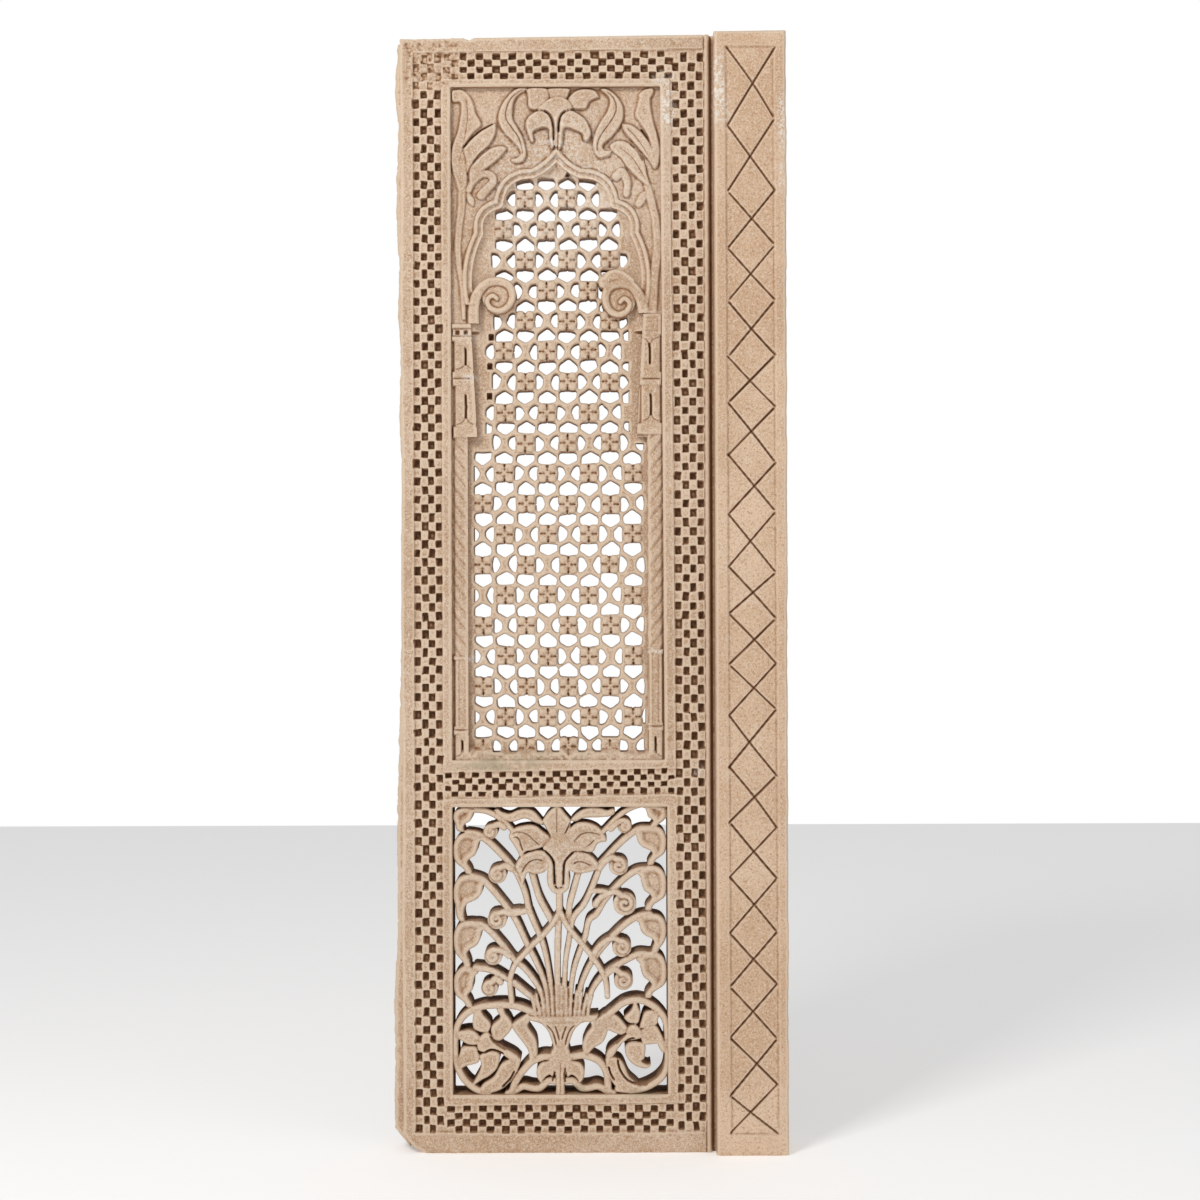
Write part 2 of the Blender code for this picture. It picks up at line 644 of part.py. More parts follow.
def add_cutters(collection):
    """Everything that is carved away. Each cutter starts further out than the last, so none share a face."""
    field = box(FIELD_LEFT, FIELD_RIGHT, FIELD_BOTTOM, FIELD_TOP)
    floor = FIELD_DEPTH - PILASTER_PROUD
    from_front = (
        ("band_sink", checker_band(), BAND_DEPTH),
        ("ground_pocket", [upper_window()], GROUND_DEPTH),
        ("screen_pocket", [screen_pocket()], SCREEN_FRONT),
        ("lower_opening", [lower_window()], BACK + CLEAR),
        ("corner_break", [broken_corner()], BACK + CLEAR + 1.0),
        ("top_chip", [top_chip()], CHIP_DEPTH),
        ("field_sink", [field], floor),
        ("zigzag_from_left", [zigzag(-1)], floor + INCISION_DEPTH),
        ("zigzag_from_right", [zigzag(1)], floor + INCISION_DEPTH))
    for index, (name, loops, depth) in enumerate(from_front):
        upright(name, loops, -PILASTER_PROUD - CLEAR - index, depth, collection)
    upright("screen_back", [back_pocket()], SCREEN_BACK, BACK + 2 * CLEAR, collection)
    upright("screen_holes", screen_holes(), SCREEN_FRONT - CLEAR, SCREEN_BACK + CLEAR, collection)


def add_upper_carving(collection):
    """Arch band, spandrel relief, volutes and colonnettes."""
    band = shifted(ribbon(arch_line(), ARCH_BAND), UPPER_AXIS)
    upright("arch_band", [band], ARCH_FRONT, CARVING_ROOT, collection)
    leaves = spandrel_leaves()
    leaves += [mirrored(leaf) for leaf in leaves]
    for index, leaf in enumerate(leaves):
        front = LEAF_FRONT + STAGGER * (index % 7)
        upright(f"leaf_{index}", [shifted(leaf, UPPER_AXIS)], front, CARVING_ROOT, collection)
    for index, leaf in enumerate(spandrel_lily()):
        front = LILY_FRONT + 0.6 * index
        upright(f"lily_{index}", [shifted(leaf, UPPER_AXIS)], front, CARVING_ROOT + 1, collection)
    blocks = colonnette(-1, LEFT_COLONNETTE) + colonnette(1, RIGHT_COLONNETTE)
    for index, (outline, front) in enumerate(blocks):
        upright(f"shaft_{index}", [shifted(outline, UPPER_AXIS)], front, CARVING_ROOT + 2, collection)
    volutes = volute((-76, 1072.5), 22, (-105, 1030)) + volute((77.5, 1067), 25, (107, 1040))
    for index, outline in enumerate(volutes):
        front = VOLUTE_FRONT + index % 2
        upright(f"volute_{index}", [shifted(outline, UPPER_AXIS)], front, CARVING_ROOT + 3, collection)


def add_lower_carving(collection):
    """The pierced motif of the lower window."""
    pieces = stalk_work() + top_lily() + vase() + roundels() + foot_lily()
    for index, (outline, front) in enumerate(pieces):
        placed = shifted(outline, LOWER_AXIS, LOWER_SILL)
        upright(f"motif_{index}", [placed], front, MOTIF_BACK, collection)


def main():
    """Model the panel."""
    empty_scene()
    parts = new_collection("stone_jali_panel")
    cutters = new_collection("cutters")
    carving = new_collection("carving")
    panel = standing("jali_panel", slab_section(), HEIGHT, parts)
    slope_top(panel)
    panel.data.materials.append(sandstone())
    upright("tongue", [tongue_outline()], TONGUE_FRONT, TONGUE_BACK, carving)
    add_upper_carving(carving)
    add_lower_carving(carving)
    add_cutters(cutters)
    boolean(panel, cutters, "DIFFERENCE", "carved away")
    boolean(panel, carving, "UNION", "left standing")


main()
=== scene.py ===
"""The looks of a stone jali panel: worn sandstone, pierced and carved in relief.

Every piece is cut from a sheet of points that starts as a flat grid. Drawings in millimetres say how far
each point lies behind the main face and where the stone is pierced, and the points closest to a drawn
edge are slid onto it before the sheet gets its thickness.
"""

from math import atan, cos, hypot, pi, radians, sin

import bmesh
import bpy
import numpy as np
from bpy.props import FloatProperty, FloatVectorProperty, PointerProperty
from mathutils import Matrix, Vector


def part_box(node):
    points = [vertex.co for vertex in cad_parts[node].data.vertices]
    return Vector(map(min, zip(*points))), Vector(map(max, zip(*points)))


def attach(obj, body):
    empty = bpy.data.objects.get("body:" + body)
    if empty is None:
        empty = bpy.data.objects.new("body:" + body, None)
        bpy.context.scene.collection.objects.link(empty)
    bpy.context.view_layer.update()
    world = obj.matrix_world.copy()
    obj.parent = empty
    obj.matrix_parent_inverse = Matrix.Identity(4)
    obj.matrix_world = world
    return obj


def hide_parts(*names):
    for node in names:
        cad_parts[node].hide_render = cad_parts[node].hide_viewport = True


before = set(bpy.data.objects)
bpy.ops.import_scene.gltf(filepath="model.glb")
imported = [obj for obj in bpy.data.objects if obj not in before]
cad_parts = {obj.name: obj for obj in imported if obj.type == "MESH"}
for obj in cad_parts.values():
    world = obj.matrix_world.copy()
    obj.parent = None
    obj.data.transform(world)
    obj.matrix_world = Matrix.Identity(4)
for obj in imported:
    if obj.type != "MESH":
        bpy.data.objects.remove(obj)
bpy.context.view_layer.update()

bl_info = {
    "name": "Stone jali panel",
    "version": (1, 0, 0),
    "blender": (4, 5, 0),
    "location": "View3D > Sidebar > Jali panel",
    "description": "Carves the pierced sandstone panel in its packed place",
    "category": "Object",
}

NODE = "jali_panel"
BODY = "root"
MM = 0.001
FAR = 1000.0
WHOLE = (slice(None), slice(None))
SHARP_ANGLE = radians(50.0)

# Length of each side of the table that smooth unevenness is drawn from
TABLE = 64
# Openings narrower than this aren't pierced
SLIVER = 1.3
# Length over which a groove runs out at each end
SLIT_END = 2.5

OPEN_LEVEL = 26.0
# Size of the surroundings that a point is compared with, and the rise that counts in full
HOLLOW_SCALES = ((4.0, 5.0), (1.5, 2.2))

# The whole stone, from its packed box
LOW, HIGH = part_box(NODE)
STONE_LEFT = LOW.x / MM
STONE_RIGHT = HIGH.x / MM
STONE_TOP = HIGH.z / MM
STONE_BACK = 56.0
MAIN_FACE = HIGH.y / MM - STONE_BACK
PILASTER_FRONT = LOW.y / MM - MAIN_FACE + 0.6
FRAME_BACK = STONE_BACK - 0.1

# Plain face and its borders
FACE_LEFT = -234.6
TOP_FALL = 5.8
SIDE_MARGIN = 2.5
END_MARGIN = 3.0
BEAD_LEFT = 145.0
BEAD_RIGHT = 151.5
GROOVE_DEPTH = 5.0
PILASTER_LEFT = 156.7
FIELD_LEFT = 171.4
FIELD_RIGHT = 234.0
FIELD_BOTTOM = 25.0
FIELD_TOP = 1381.0
TONGUE_FRONT = 14.0
TONGUE_BACK = 50.0
TONGUE_ROOT = -226.0
TONGUE_STEP = 1.8
BAND_LEFT = -219.1
BAND_BOTTOM = 25.0
BAND_TOP = 1379.0
BAND_DEPTH = 2.2
PIT_DEPTH = 7.5
PIT_SPREAD = 0.6
PIT_CORNER = 0.7
WORN_SHARE = 0.35
WORN_RIGHT = -160.0
WORN_FOOT = 1325.0
RAIL = 11.6

# Upper window
UPPER_AXIS = -39.6
UPPER_LEFT = -171.8
UPPER_RIGHT_TOP = 90.5
UPPER_RIGHT_FOOT = 94.0
UPPER_SILL = 491.5
UPPER_TOP = 1333.8
GROUND_DEPTH = 9.0
SCREEN_FRONT = 16.5
SCREEN_BACK = 39.0
RELIEF_BACK = SCREEN_BACK + 0.4
SEAM_LEFT = 1038.0
SEAM_RIGHT = 1050.5

# Lattice
PITCH = 27.0
ROW = 38.35
TOP_ROW = 1196.3
ROWS = 19
COLUMN_PLACES = (-94.2, -66.5, -39.5, -12.8, 13.2, 39.6, 66.1, 94.6)
CUSHION = 888.0
SHOULDER = 1088.0
COVE = 15.0
BLIND = 920.0
BLIND_ASIDE = 9.5
BLIND_WIDE = 3.6
BLIND_TALL = 4.4
CRUMBLED_TOP = 511.0
CRUMBLED_FALL = 14.0

# Moulding round the arch
FILLET = 5.2
BEVEL = 6.5
UPPER_SPRING = 1062.0

# Lower window
LOWER_AXIS = -37.7
LOWER_LEFT = -172.1
LOWER_RIGHT = 96.8
LOWER_SILL = 72.9
LOWER_TOP = 432.9
MOTIF_BACK = 52.0
STRAWS = 13
STRAW_SPREAD = 34.0
SPIRAL_STEPS = 34
SPIRAL_TURN = 425
LEAF_NECK = 117

# Stage
FLOOR_SIZE = 4.0
PAINT_GLOW = 0.3
AIM = (0.0, 0.0, 0.7)


class PanelFinish(bpy.types.PropertyGroup):
    """Colours and sizes of the stone's surface."""

    stone: FloatVectorProperty(
        name="Stone", description="Colour of the worn faces", subtype="COLOR", size=4,
        default=(0.63, 0.445, 0.30, 1.0))
    pilaster: FloatVectorProperty(
        name="Pilaster", description="Colour of the yellower strip", subtype="COLOR", size=4,
        default=(0.72, 0.50, 0.33, 1.0))
    # Dark sand grains, and painted shade on cut walls and in hollows
    shade_and_dark_grain: FloatVectorProperty(
        name="Recess", description="Colour of cut walls and hollows", subtype="COLOR", size=4,
        default=(0.33, 0.165, 0.075, 1.0))
    # Painted shade in the deepest hollows and far back on cut walls
    deep: FloatVectorProperty(
        name="Deep", description="Colour of the deepest hollows", subtype="COLOR", size=4,
        default=(0.115, 0.052, 0.022, 1.0))
    # Pale grains and patches, and rubbed edges with painted highlight on them
    arris: FloatVectorProperty(
        name="Arris", description="Colour of rubbed edges", subtype="COLOR", size=4,
        default=(0.78, 0.62, 0.47, 1.0))
    lime: FloatVectorProperty(
        name="Lime", description="Colour of the flecks of old limewash", subtype="COLOR", size=4,
        default=(0.88, 0.85, 0.80, 1.0))
    moss: FloatVectorProperty(
        name="Moss", description="Colour of the grey-green bloom on the sills", subtype="COLOR", size=4,
        default=(0.36, 0.33, 0.22, 1.0))
    grain: FloatProperty(
        name="Grain", description="Size of the sand grains", default=0.0011, unit="LENGTH")
    step: FloatProperty(
        name="Point spacing", description="Spacing of the points of the carved sheets", default=0.0011,
        unit="LENGTH")


class PanelStage(bpy.types.PropertyGroup):
    """Camera and light."""

    distance: FloatProperty(
        name="Distance", description="From the main face to the camera", default=2.75, unit="LENGTH")
    eye: FloatProperty(
        name="Eye height", description="Height of the camera", default=0.6915, unit="LENGTH")
    aside: FloatProperty(
        name="Aside", description="Camera's place across the panel", default=0.0135, unit="LENGTH")
    roll: FloatProperty(
        name="Roll", description="Slight tilt of the camera", default=0.003, subtype="ANGLE")
    span: FloatProperty(
        name="Span", description="Height of the view at the main face", default=1.5, unit="LENGTH")
    key: FloatProperty(
        name="Key light", description="Power of the lamp above on the left", default=50.0, unit="POWER")
    fill: FloatProperty(
        name="Fill light", description="Power of the lamp on the right", default=9.0, unit="POWER")
    sky: FloatProperty(
        name="Surroundings", description="Strength of the light from all round", default=0.45)


def curve(points, closed=False, fine=5):
    """A smooth line through drawn points; a point that is given twice stays a sharp corner."""
    count = len(points)
    spans = count if closed else count - 1
    line = []
    for index in range(spans):
        if closed:
            before, start, end, after = (points[(index + shift) % count] for shift in (-1, 0, 1, 2))
        else:
            before, start = points[max(index - 1, 0)], points[index]
            end, after = points[index + 1], points[min(index + 2, count - 1)]
        if start == end:
            continue
        for step in range(fine):
            t = step / fine
            line.append(tuple(
                0.5 * (2 * b + (c - a) * t + (2 * a - 5 * b + 4 * c - d) * t * t
                       + (3 * b - a - 3 * c + d) * t ** 3)
                for a, b, c, d in zip(before, start, end, after)))
    if not closed:
        line.append(tuple(points[-1]))
    return line


def shifted(points, across, up=0.0):
    """Move a drawing made about its own axis to its place."""
    return [(x + across, z + up) for x, z in points]


def mirrored(points):
    """Turn a drawing about its axis."""
    return [(-x, z) for x, z in points]


def box(left, right, bottom, top):
    """A rectangle as an outline."""
    return [(left, bottom), (right, bottom), (right, top), (left, top)]


def circle(centre, radius, steps):
    """Points round a circle."""
    angles = [radians(360.0 * step / steps) for step in range(steps)]
    return [(centre[0] + radius * cos(angle), centre[1] + radius * sin(angle)) for angle in angles]


def eased(points, radius):
    """Round off the corners of an outline of straight lines."""
    line = []
    for before, corner, after in zip(points[-1:] + points[:-1], points, points[1:] + points[:1]):
        ends = []
        for other in (before, after):
            run, rise = other[0] - corner[0], other[1] - corner[1]
            share = min(radius / hypot(run, rise), 0.45)
            ends.append((corner[0] + run * share, corner[1] + rise * share))
        for step in range(5):
            t = step / 4
            line.append(tuple((1 - t) ** 2 * a + 2 * t * (1 - t) * c + t * t * b
                              for a, c, b in zip(ends[0], corner, ends[1])))
    return line


def swung(start, end, bulge, steps):
    """Points from start to end that swell to the left; the end is left out."""
    run, rise = end[0] - start[0], end[1] - start[1]
    length = hypot(run, rise)
    points = []
    for step in range(steps):
        share = step / steps
        swell = bulge * 4 * share * (1 - share) / length
        points.append((start[0] + run * share - rise * swell, start[1] + rise * share + run * swell))
    return points


def measure(path, x, z, closed=False):
    """Distance from each point to a line, how far along it the nearest place is, and that place.

    For a closed line the distance is positive inside and negative outside."""
    best = np.full(x.shape, FAR * FAR)
    along = np.zeros(x.shape)
    near_x = np.zeros(x.shape)
    near_z = np.zeros(x.shape)
    odd = np.zeros(x.shape, bool)
    ends = path[1:] + path[:1] if closed else path[1:]
    total = sum(hypot(b[0] - a[0], b[1] - a[1]) for a, b in zip(path, ends))
    done = 0.0
    for (ax, az), (bx, bz) in zip(path, ends):
        run, rise = bx - ax, bz - az
        length = hypot(run, rise)
        if length < 1e-6:
            continue
        share = np.clip(((x - ax) * run + (z - az) * rise) / length ** 2, 0.0, 1.0)
        px, pz = ax + share * run, az + share * rise
        square = (x - px) ** 2 + (z - pz) ** 2
        nearer = square < best
        best = np.where(nearer, square, best)
        along = np.where(nearer, (done + share * length) / total, along)
        near_x = np.where(nearer, px, near_x)
        near_z = np.where(nearer, pz, near_z)
        if closed and az != bz:
            odd ^= ((az > z) != (bz > z)) & (x < run * (z - az) / rise + ax)
        done += length
    distance = np.sqrt(best)
    if closed:
        distance = np.where(odd, distance, -distance)
    return distance, along, near_x, near_z


def falling(inside, radius, drop):
    """How far a surface rounds away towards its edge."""
    share = np.clip(inside / radius, 0.0, 1.0)
    return drop * (1.0 - np.sqrt(1.0 - (1.0 - share) ** 2))


def swell(value, low, high):
    """A smooth change from 0 at low to 1 at high."""
    share = np.clip((value - low) / (high - low), 0.0, 1.0)
    return share * share * (3.0 - 2.0 * share)


def uneven(x, z, size, seed):
    """Smooth unevenness between -1 and 1, with bumps of about one size."""
    table = np.random.default_rng(seed).uniform(-1.0, 1.0, (TABLE, TABLE))
    u, v = x / size, z / size
    i, j = np.floor(u).astype(int), np.floor(v).astype(int)
    fu, fv = u - i, v - j
    fu, fv = fu * fu * (3 - 2 * fu), fv * fv * (3 - 2 * fv)
    left, right = i % TABLE, (i + 1) % TABLE
    foot, top = j % TABLE, (j + 1) % TABLE
    low = table[left, foot] * (1 - fu) + table[right, foot] * fu
    high = table[left, top] * (1 - fu) + table[right, top] * fu
    return low * (1 - fv) + high * fv


def blurred(values, reach):
    """Each value averaged with its neighbours, a few points each way."""
    for axis in (0, 1):
        total = np.zeros_like(values)
        for shift in range(-reach, reach + 1):
            index = np.clip(np.arange(values.shape[axis]) + shift, 0, values.shape[axis] - 1)
            total += np.take(values, index, axis=axis)
        values = total / (2 * reach + 1)
    return values


class Sheet:
    """A face of stone as a grid of points, each with its depth behind the main face.

    Positive values of stone lie in the stone and negative ones in an opening."""

    def __init__(self, extent, step, open_level):
        left, right, bottom, top = extent
        self.step = step
        self.open_level = open_level
        self.columns = np.linspace(left, right, round((right - left) / step) + 1)
        self.rows = np.linspace(bottom, top, round((top - bottom) / step) + 1)
        self.x, self.z = np.meshgrid(self.columns, self.rows)
        self.touch = 0.12 * step
        self.reach = np.full(self.x.shape, step / 2)
        self.slide_x = np.zeros(self.x.shape)
        self.slide_z = np.zeros(self.x.shape)
        self.settled = False

    def start(self, depth=None):
        """Begin with a flat ground, or with no stone at all."""
        self.depth = np.full(self.x.shape, FAR if depth is None else depth)
        self.stone = np.full(self.x.shape, -FAR if depth is None else FAR)

    def around(self, path, margin=3.0):
        """The part of the grid that a drawing covers."""
        across = [point[0] for point in path]
        up = [point[1] for point in path]
        left, right = np.searchsorted(self.columns, (min(across) - margin, max(across) + margin))
        low, high = np.searchsorted(self.rows, (min(up) - margin, max(up) + margin))
        return slice(max(low - 2, 0), high + 2), slice(max(left - 2, 0), right + 2)

    def catch(self, view, across, up, favour=1.0):
        """Note how far points would slide to reach a drawn line, and keep the shortest slide."""
        if self.settled:
            return
        far = np.hypot(across, up)
        nearer = (far < self.step / 2) & (far * favour < self.reach[view])
        self.reach[view] = np.where(nearer, far * favour, self.reach[view])
        self.slide_x[view] = np.where(nearer, across, self.slide_x[view])
        self.slide_z[view] = np.where(nearer, up, self.slide_z[view])

    def catch_edge(self, view, inside):
        """Catch the points beside an edge that is known by its distance."""
        if self.settled or min(inside.shape) < 2:
            return
        rise, run = np.gradient(inside, self.step)
        steep = np.maximum(rise ** 2 + run ** 2, 0.2)
        self.catch(view, -inside * run / steep, -inside * rise / steep)

    def settle(self):
        """Slide the caught points onto their lines, but leave the border straight."""
        for slides, border in ((self.slide_x, (slice(None), (0, -1))),
                               (self.slide_z, ((0, -1), slice(None)))):
            slides[border] = 0.0
        self.caught = self.reach < self.step / 2
        self.x = self.x + self.slide_x
        self.z = self.z + self.slide_z
        self.settled = True

    def lay(self, view, inside, depth):
        """Add a form of stone where inside is positive; it shows where it is in front."""
        self.catch_edge(view, inside)
        covered = inside > -self.touch
        here = self.depth[view]
        self.depth[view] = np.where(covered, np.minimum(here, depth), here)
        self.stone[view] = np.maximum(self.stone[view], inside)

    def form(self, outline, front, edge=3.0, drop=2.4, belly=0.0, rim=2.4, crown=0.0, smooth=True):
        """Add a form with a rounded edge: a belly is sunk in its middle, a crown stands up there."""
        path = curve(outline, closed=True) if smooth else outline
        view = self.around(path)
        x, z = self.x[view], self.z[view]
        inside = measure(path, x, z, closed=True)[0]
        depth = front + falling(inside, edge, drop)
        if belly:
            depth = depth + belly * swell(inside, rim, rim + 5.0)
        if crown:
            depth = depth - crown * swell(inside, 0.0, 9.0)
        self.lay(view, inside, depth)

    def bar(self, spine, width, front, end_width=None, drop=None, smooth=True, flat=0.0):
        """Add a round bar along a spine, tapering if it has an end width."""
        path = curve(spine) if smooth else spine
        end_width = width if end_width is None else end_width
        view = self.around(path, max(width, end_width) / 2 + 2.0)
        distance, along, near_x, near_z = measure(path, self.x[view], self.z[view])
        half = (width + (end_width - width) * along) / 2
        inside = half - distance
        drop = half * 0.75 if drop is None else drop
        self.lay(view, inside, front + falling(inside, half * (1.0 - flat), drop))

    def slit(self, spine, width, deep, smooth=True):
        """Cut a narrow groove along a spine, deepest in its middle."""
        path = curve(spine) if smooth else spine
        view = self.around(path, width / 2 + 1.0)
        distance, along, near_x, near_z = measure(path, self.x[view], self.z[view])
        x, z = self.x[view], self.z[view]
        self.catch(view, near_x - x, near_z - z, 0.6)
        length = sum(hypot(b[0] - a[0], b[1] - a[1]) for a, b in zip(path, path[1:]))
        ends = np.clip(np.minimum(along, 1 - along) * length / SLIT_END, 0.0, 1.0)
        self.depth[view] += deep * ends * np.clip(1.35 * (1.0 - distance / (width / 2)), 0.0, 1.0)

    def sink(self, view, inside, deep, slope=0.9):
        """Lower the surface where inside is positive, with steep walls."""
        self.catch_edge(view, inside)
        self.depth[view] += deep * np.clip(inside / slope, 0.0, 1.0)

    def cut(self, outline, smooth=False, field=None):
        """Pierce the stone, within a field if one is given."""
        path = curve(outline, closed=True) if smooth else outline
        view = self.around(path, 12.0)
        inside = measure(path, self.x[view], self.z[view], closed=True)[0]
        if field is not None:
            inside = np.minimum(inside, field[view])
            if inside.max(initial=0.0) < SLIVER:
                return
        self.catch_edge(view, inside)
        self.stone[view] = np.minimum(self.stone[view], -inside)

    def wear(self, rough=0.25, soften=0.35, seed=1):
        """Rub the edges and give the surface its unevenness."""
        solid = (self.stone > -self.touch).astype(float)
        filled = np.where(solid > 0, self.depth, 0.0)
        weight = np.maximum(blurred(solid, 1), 0.05)
        soft = blurred(filled, 1) / weight
        rubbed = self.depth + soften * (soft - self.depth)
        self.depth = np.where(solid > 0, rubbed, self.depth)
        self.depth += rough * uneven(self.x, self.z, 7.0, seed)
        self.depth += rough * 0.6 * uneven(self.x, self.z, 2.6, seed + 1)

    def hollows(self):
        """How far each point lies below its surroundings, from -1 on an arris to 1 in a hollow."""
        open_depth = self.depth.copy()
        open_depth[self.stone < -self.touch] = self.open_level
        open_depth = np.minimum(open_depth, self.open_level)
        level = np.zeros(self.depth.shape)
        for size, rise in HOLLOW_SCALES:
            around = blurred(blurred(open_depth, max(1, round(size / self.step))), 1)
            level += (self.depth - around) / rise
        return np.clip(level, -1.0, 1.0)


def cell_work(sheet):
    """Which cells of a sheet go, which lose a corner, and which fold along a drawn line."""
    state = np.where(sheet.stone > sheet.touch, 1, np.where(sheet.stone < -sheet.touch, -1, 0))
    corners = (state[:-1, :-1], state[:-1, 1:], state[1:, 1:], state[1:, :-1])
    caught = sheet.caught & (state >= 0)
    held = (caught[:-1, :-1], caught[:-1, 1:], caught[1:, 1:], caught[1:, :-1])
    outside = sum((corner < 0).astype(int) for corner in corners)
    inside = sum((corner > 0).astype(int) for corner in corners)
    fold = np.full(outside.shape, -1)
    fold[held[0] & held[2] & ~(held[1] & held[3])] = 0
    fold[held[1] & held[3] & ~(held[0] & held[2])] = 1
    trimmed = np.zeros(outside.shape, bool)
    for index in range(4):
        lost = (outside == 1) & (corners[index] < 0) & (corners[(index + 2) % 4] > 0)
        fold[lost] = (index + 1) % 2
        trimmed |= lost
    gone = ((outside > 0) & ~trimmed) | ((outside == 0) & (inside == 0))
    return gone, trimmed, fold, state


def thinned(mesh, name, share):
    """Merge triangles where the surface is nearly flat."""
    holder = bpy.data.objects.new(name + "_thinning", mesh)
    bpy.context.scene.collection.objects.link(holder)
    modifier = holder.modifiers.new("thin", "DECIMATE")
    modifier.ratio = share
    evaluated = holder.evaluated_get(bpy.context.evaluated_depsgraph_get())
    lighter = bpy.data.meshes.new_from_object(evaluated)
    bpy.data.objects.remove(holder, do_unlink=True)
    return lighter


def within(x, z):
    """1 inside the stone's face, 0 at its outer sides."""
    beside = FACE_LEFT + SIDE_MARGIN < x < STONE_RIGHT - SIDE_MARGIN
    return float(beside and END_MARGIN < z < STONE_TOP - TOP_FALL - END_MARGIN)


def stone_mesh(sheet, name, back):
    """Turn a sheet into closed stone with straight walls and a flat back."""
    gone, trimmed, fold, state = cell_work(sheet)
    count_x, count_z = len(sheet.columns), len(sheet.rows)
    work = bmesh.new()
    bmesh.ops.create_grid(work, x_segments=count_x - 1, y_segments=count_z - 1, size=1.0)
    work.verts.ensure_lookup_table()
    work.faces.ensure_lookup_table()
    # How far each point lies below its surroundings; the material paints highlight and shade by it
    layer = work.verts.layers.float.new("hollow")
    # 1 inside the face, the only place where shade is painted on cut walls
    inner = work.verts.layers.float.new("inner")
    places = zip(work.verts,
                 (sheet.x * MM).ravel().tolist(),
                 ((MAIN_FACE + sheet.depth) * MM).ravel().tolist(),
                 (sheet.z * MM).ravel().tolist(),
                 sheet.hollows().ravel().tolist())
    for vertex, x, y, z, hollow in places:
        vertex.co = (x, y, z)
        vertex[layer] = hollow
        vertex[inner] = within(x / MM, z / MM)
    out = (state < 0).ravel()
    faces = work.faces
    doomed = [faces[index] for index in np.flatnonzero(gone.ravel()).tolist()]
    pairs = []
    for index in np.flatnonzero((fold.ravel() >= 0) & ~gone.ravel()).tolist():
        row, column = divmod(index, count_x - 1)
        first = row * count_x + column
        ring = (first, first + 1, first + count_x + 1, first + count_x)
        turn = fold[row, column]
        pairs.append((faces[index], work.verts[ring[turn]], work.verts[ring[turn + 2]]))
    for face, one, other in pairs:
        extra = bmesh.utils.face_split(face, one, other)[0]
        for half in (face, extra):
            if any(out[vertex.index] for vertex in half.verts):
                doomed.append(half)
    bmesh.ops.delete(work, geom=doomed, context="FACES")
    loose = [vertex for vertex in work.verts if not vertex.link_faces]
    bmesh.ops.delete(work, geom=loose, context="VERTS")
    for vertex in list(work.verts):
        if sum(edge.is_boundary for edge in vertex.link_edges) > 2:
            bmesh.utils.vert_separate(vertex, ())
    front = list(work.faces) + list(work.edges) + list(work.verts)
    grown = bmesh.ops.extrude_face_region(work, geom=front, use_keep_orig=True)["geom"]
    for vertex in grown:
        if isinstance(vertex, bmesh.types.BMVert):
            vertex.co.y = (MAIN_FACE + back) * MM
            vertex[layer] = 0.0
    bmesh.ops.recalc_face_normals(work, faces=work.faces)
    mesh = bpy.data.meshes.new(name)
    work.to_mesh(mesh)
    work.free()
    return mesh


def carve(name, extent, step, draw, back, material, share, open_level=OPEN_LEVEL):
    """Draw a sheet twice, before and after its points have settled on the edges, and place it.

    The share is the part of its triangles that is kept where the surface is nearly flat."""
    sheet = Sheet(extent, step, open_level)
    draw(sheet)
    sheet.settle()
    draw(sheet)
    mesh = thinned(stone_mesh(sheet, name, back), name, share)
    mesh.shade_smooth()
    mesh.set_sharp_from_angle(angle=SHARP_ANGLE)
    mesh.name = name
    piece = bpy.data.objects.new(name, mesh)
    bpy.context.scene.collection.objects.link(piece)
    mesh.materials.clear()
    mesh.materials.append(material)
    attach(piece, BODY)
    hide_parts(NODE)


def face_left(z):
    """Left arris of the main face, slightly wavering."""
    return FACE_LEFT + 0.7 * np.sin(z / 61.0) + 0.5 * uneven(z, 0 * z, 23.0, 5)


def stone_top(x):
    """Height of the upper end, which falls towards the left."""
    return STONE_TOP - 0.6 - TOP_FALL * (STONE_RIGHT - x) / (STONE_RIGHT - STONE_LEFT)


BROKEN_CORNER = ((-262, 29), (-247.5, 28), (-241, 17.5), (-233.5, 24), (-227, 14.7), (-220.6, 7.3),
                 (-206, -1), (-206, -20), (-262, -20))
TOP_CHIP = ((-158, 1410), (-156, 1395.5), (-148, 1391.5), (-140, 1396), (-139, 1410))


def upper_window():
    """Outline inside the upper frame, a little wider at its foot."""
    return [(UPPER_LEFT, UPPER_SILL), (UPPER_RIGHT_FOOT, UPPER_SILL),
            (UPPER_RIGHT_TOP, UPPER_TOP), (UPPER_LEFT, UPPER_TOP)]


def upper_frame():
    """Outline outside the upper frame."""
    top = UPPER_TOP + 9.2
    return [(UPPER_LEFT - RAIL, UPPER_SILL - RAIL - 3.5),
            (UPPER_RIGHT_FOOT + RAIL + 2, UPPER_SILL - RAIL + 1.0),
            (UPPER_RIGHT_TOP + RAIL, top),
            (UPPER_LEFT - RAIL, top)]


def lower_frame():
    """Outline outside the lower frame."""
    right = LOWER_RIGHT + RAIL + 1
    return [(LOWER_LEFT - RAIL, LOWER_SILL - RAIL - 2),
            (right, LOWER_SILL - RAIL + 2),
            (right, LOWER_TOP + 15.5),
            (LOWER_LEFT - RAIL, LOWER_TOP + 9.5)]


# Middle of each column or row of pits; the right-hand columns lean, so they have a top and a foot
LEFT_PIT_COLUMNS = (-214.7, -205.1, -197.0, -187.9)
RIGHT_PIT_COLUMNS = ((109.4, 114.0), (119.6, 123.4), (129.4, 132.0), (139.6, 140.6))
TOP_PIT_ROWS = (1372.6, 1364.2, 1355.8, 1347.4)
MIDDLE_PIT_ROWS = (474.6, 467.0, 458.8, 450.6)
BOTTOM_PIT_ROWS = (55.4, 46.6, 37.8, 29.4)
TOP_SLOPE = 0.011
MIDDLE_SLOPE = 0.018
SLOPE_CENTRE = 40.0


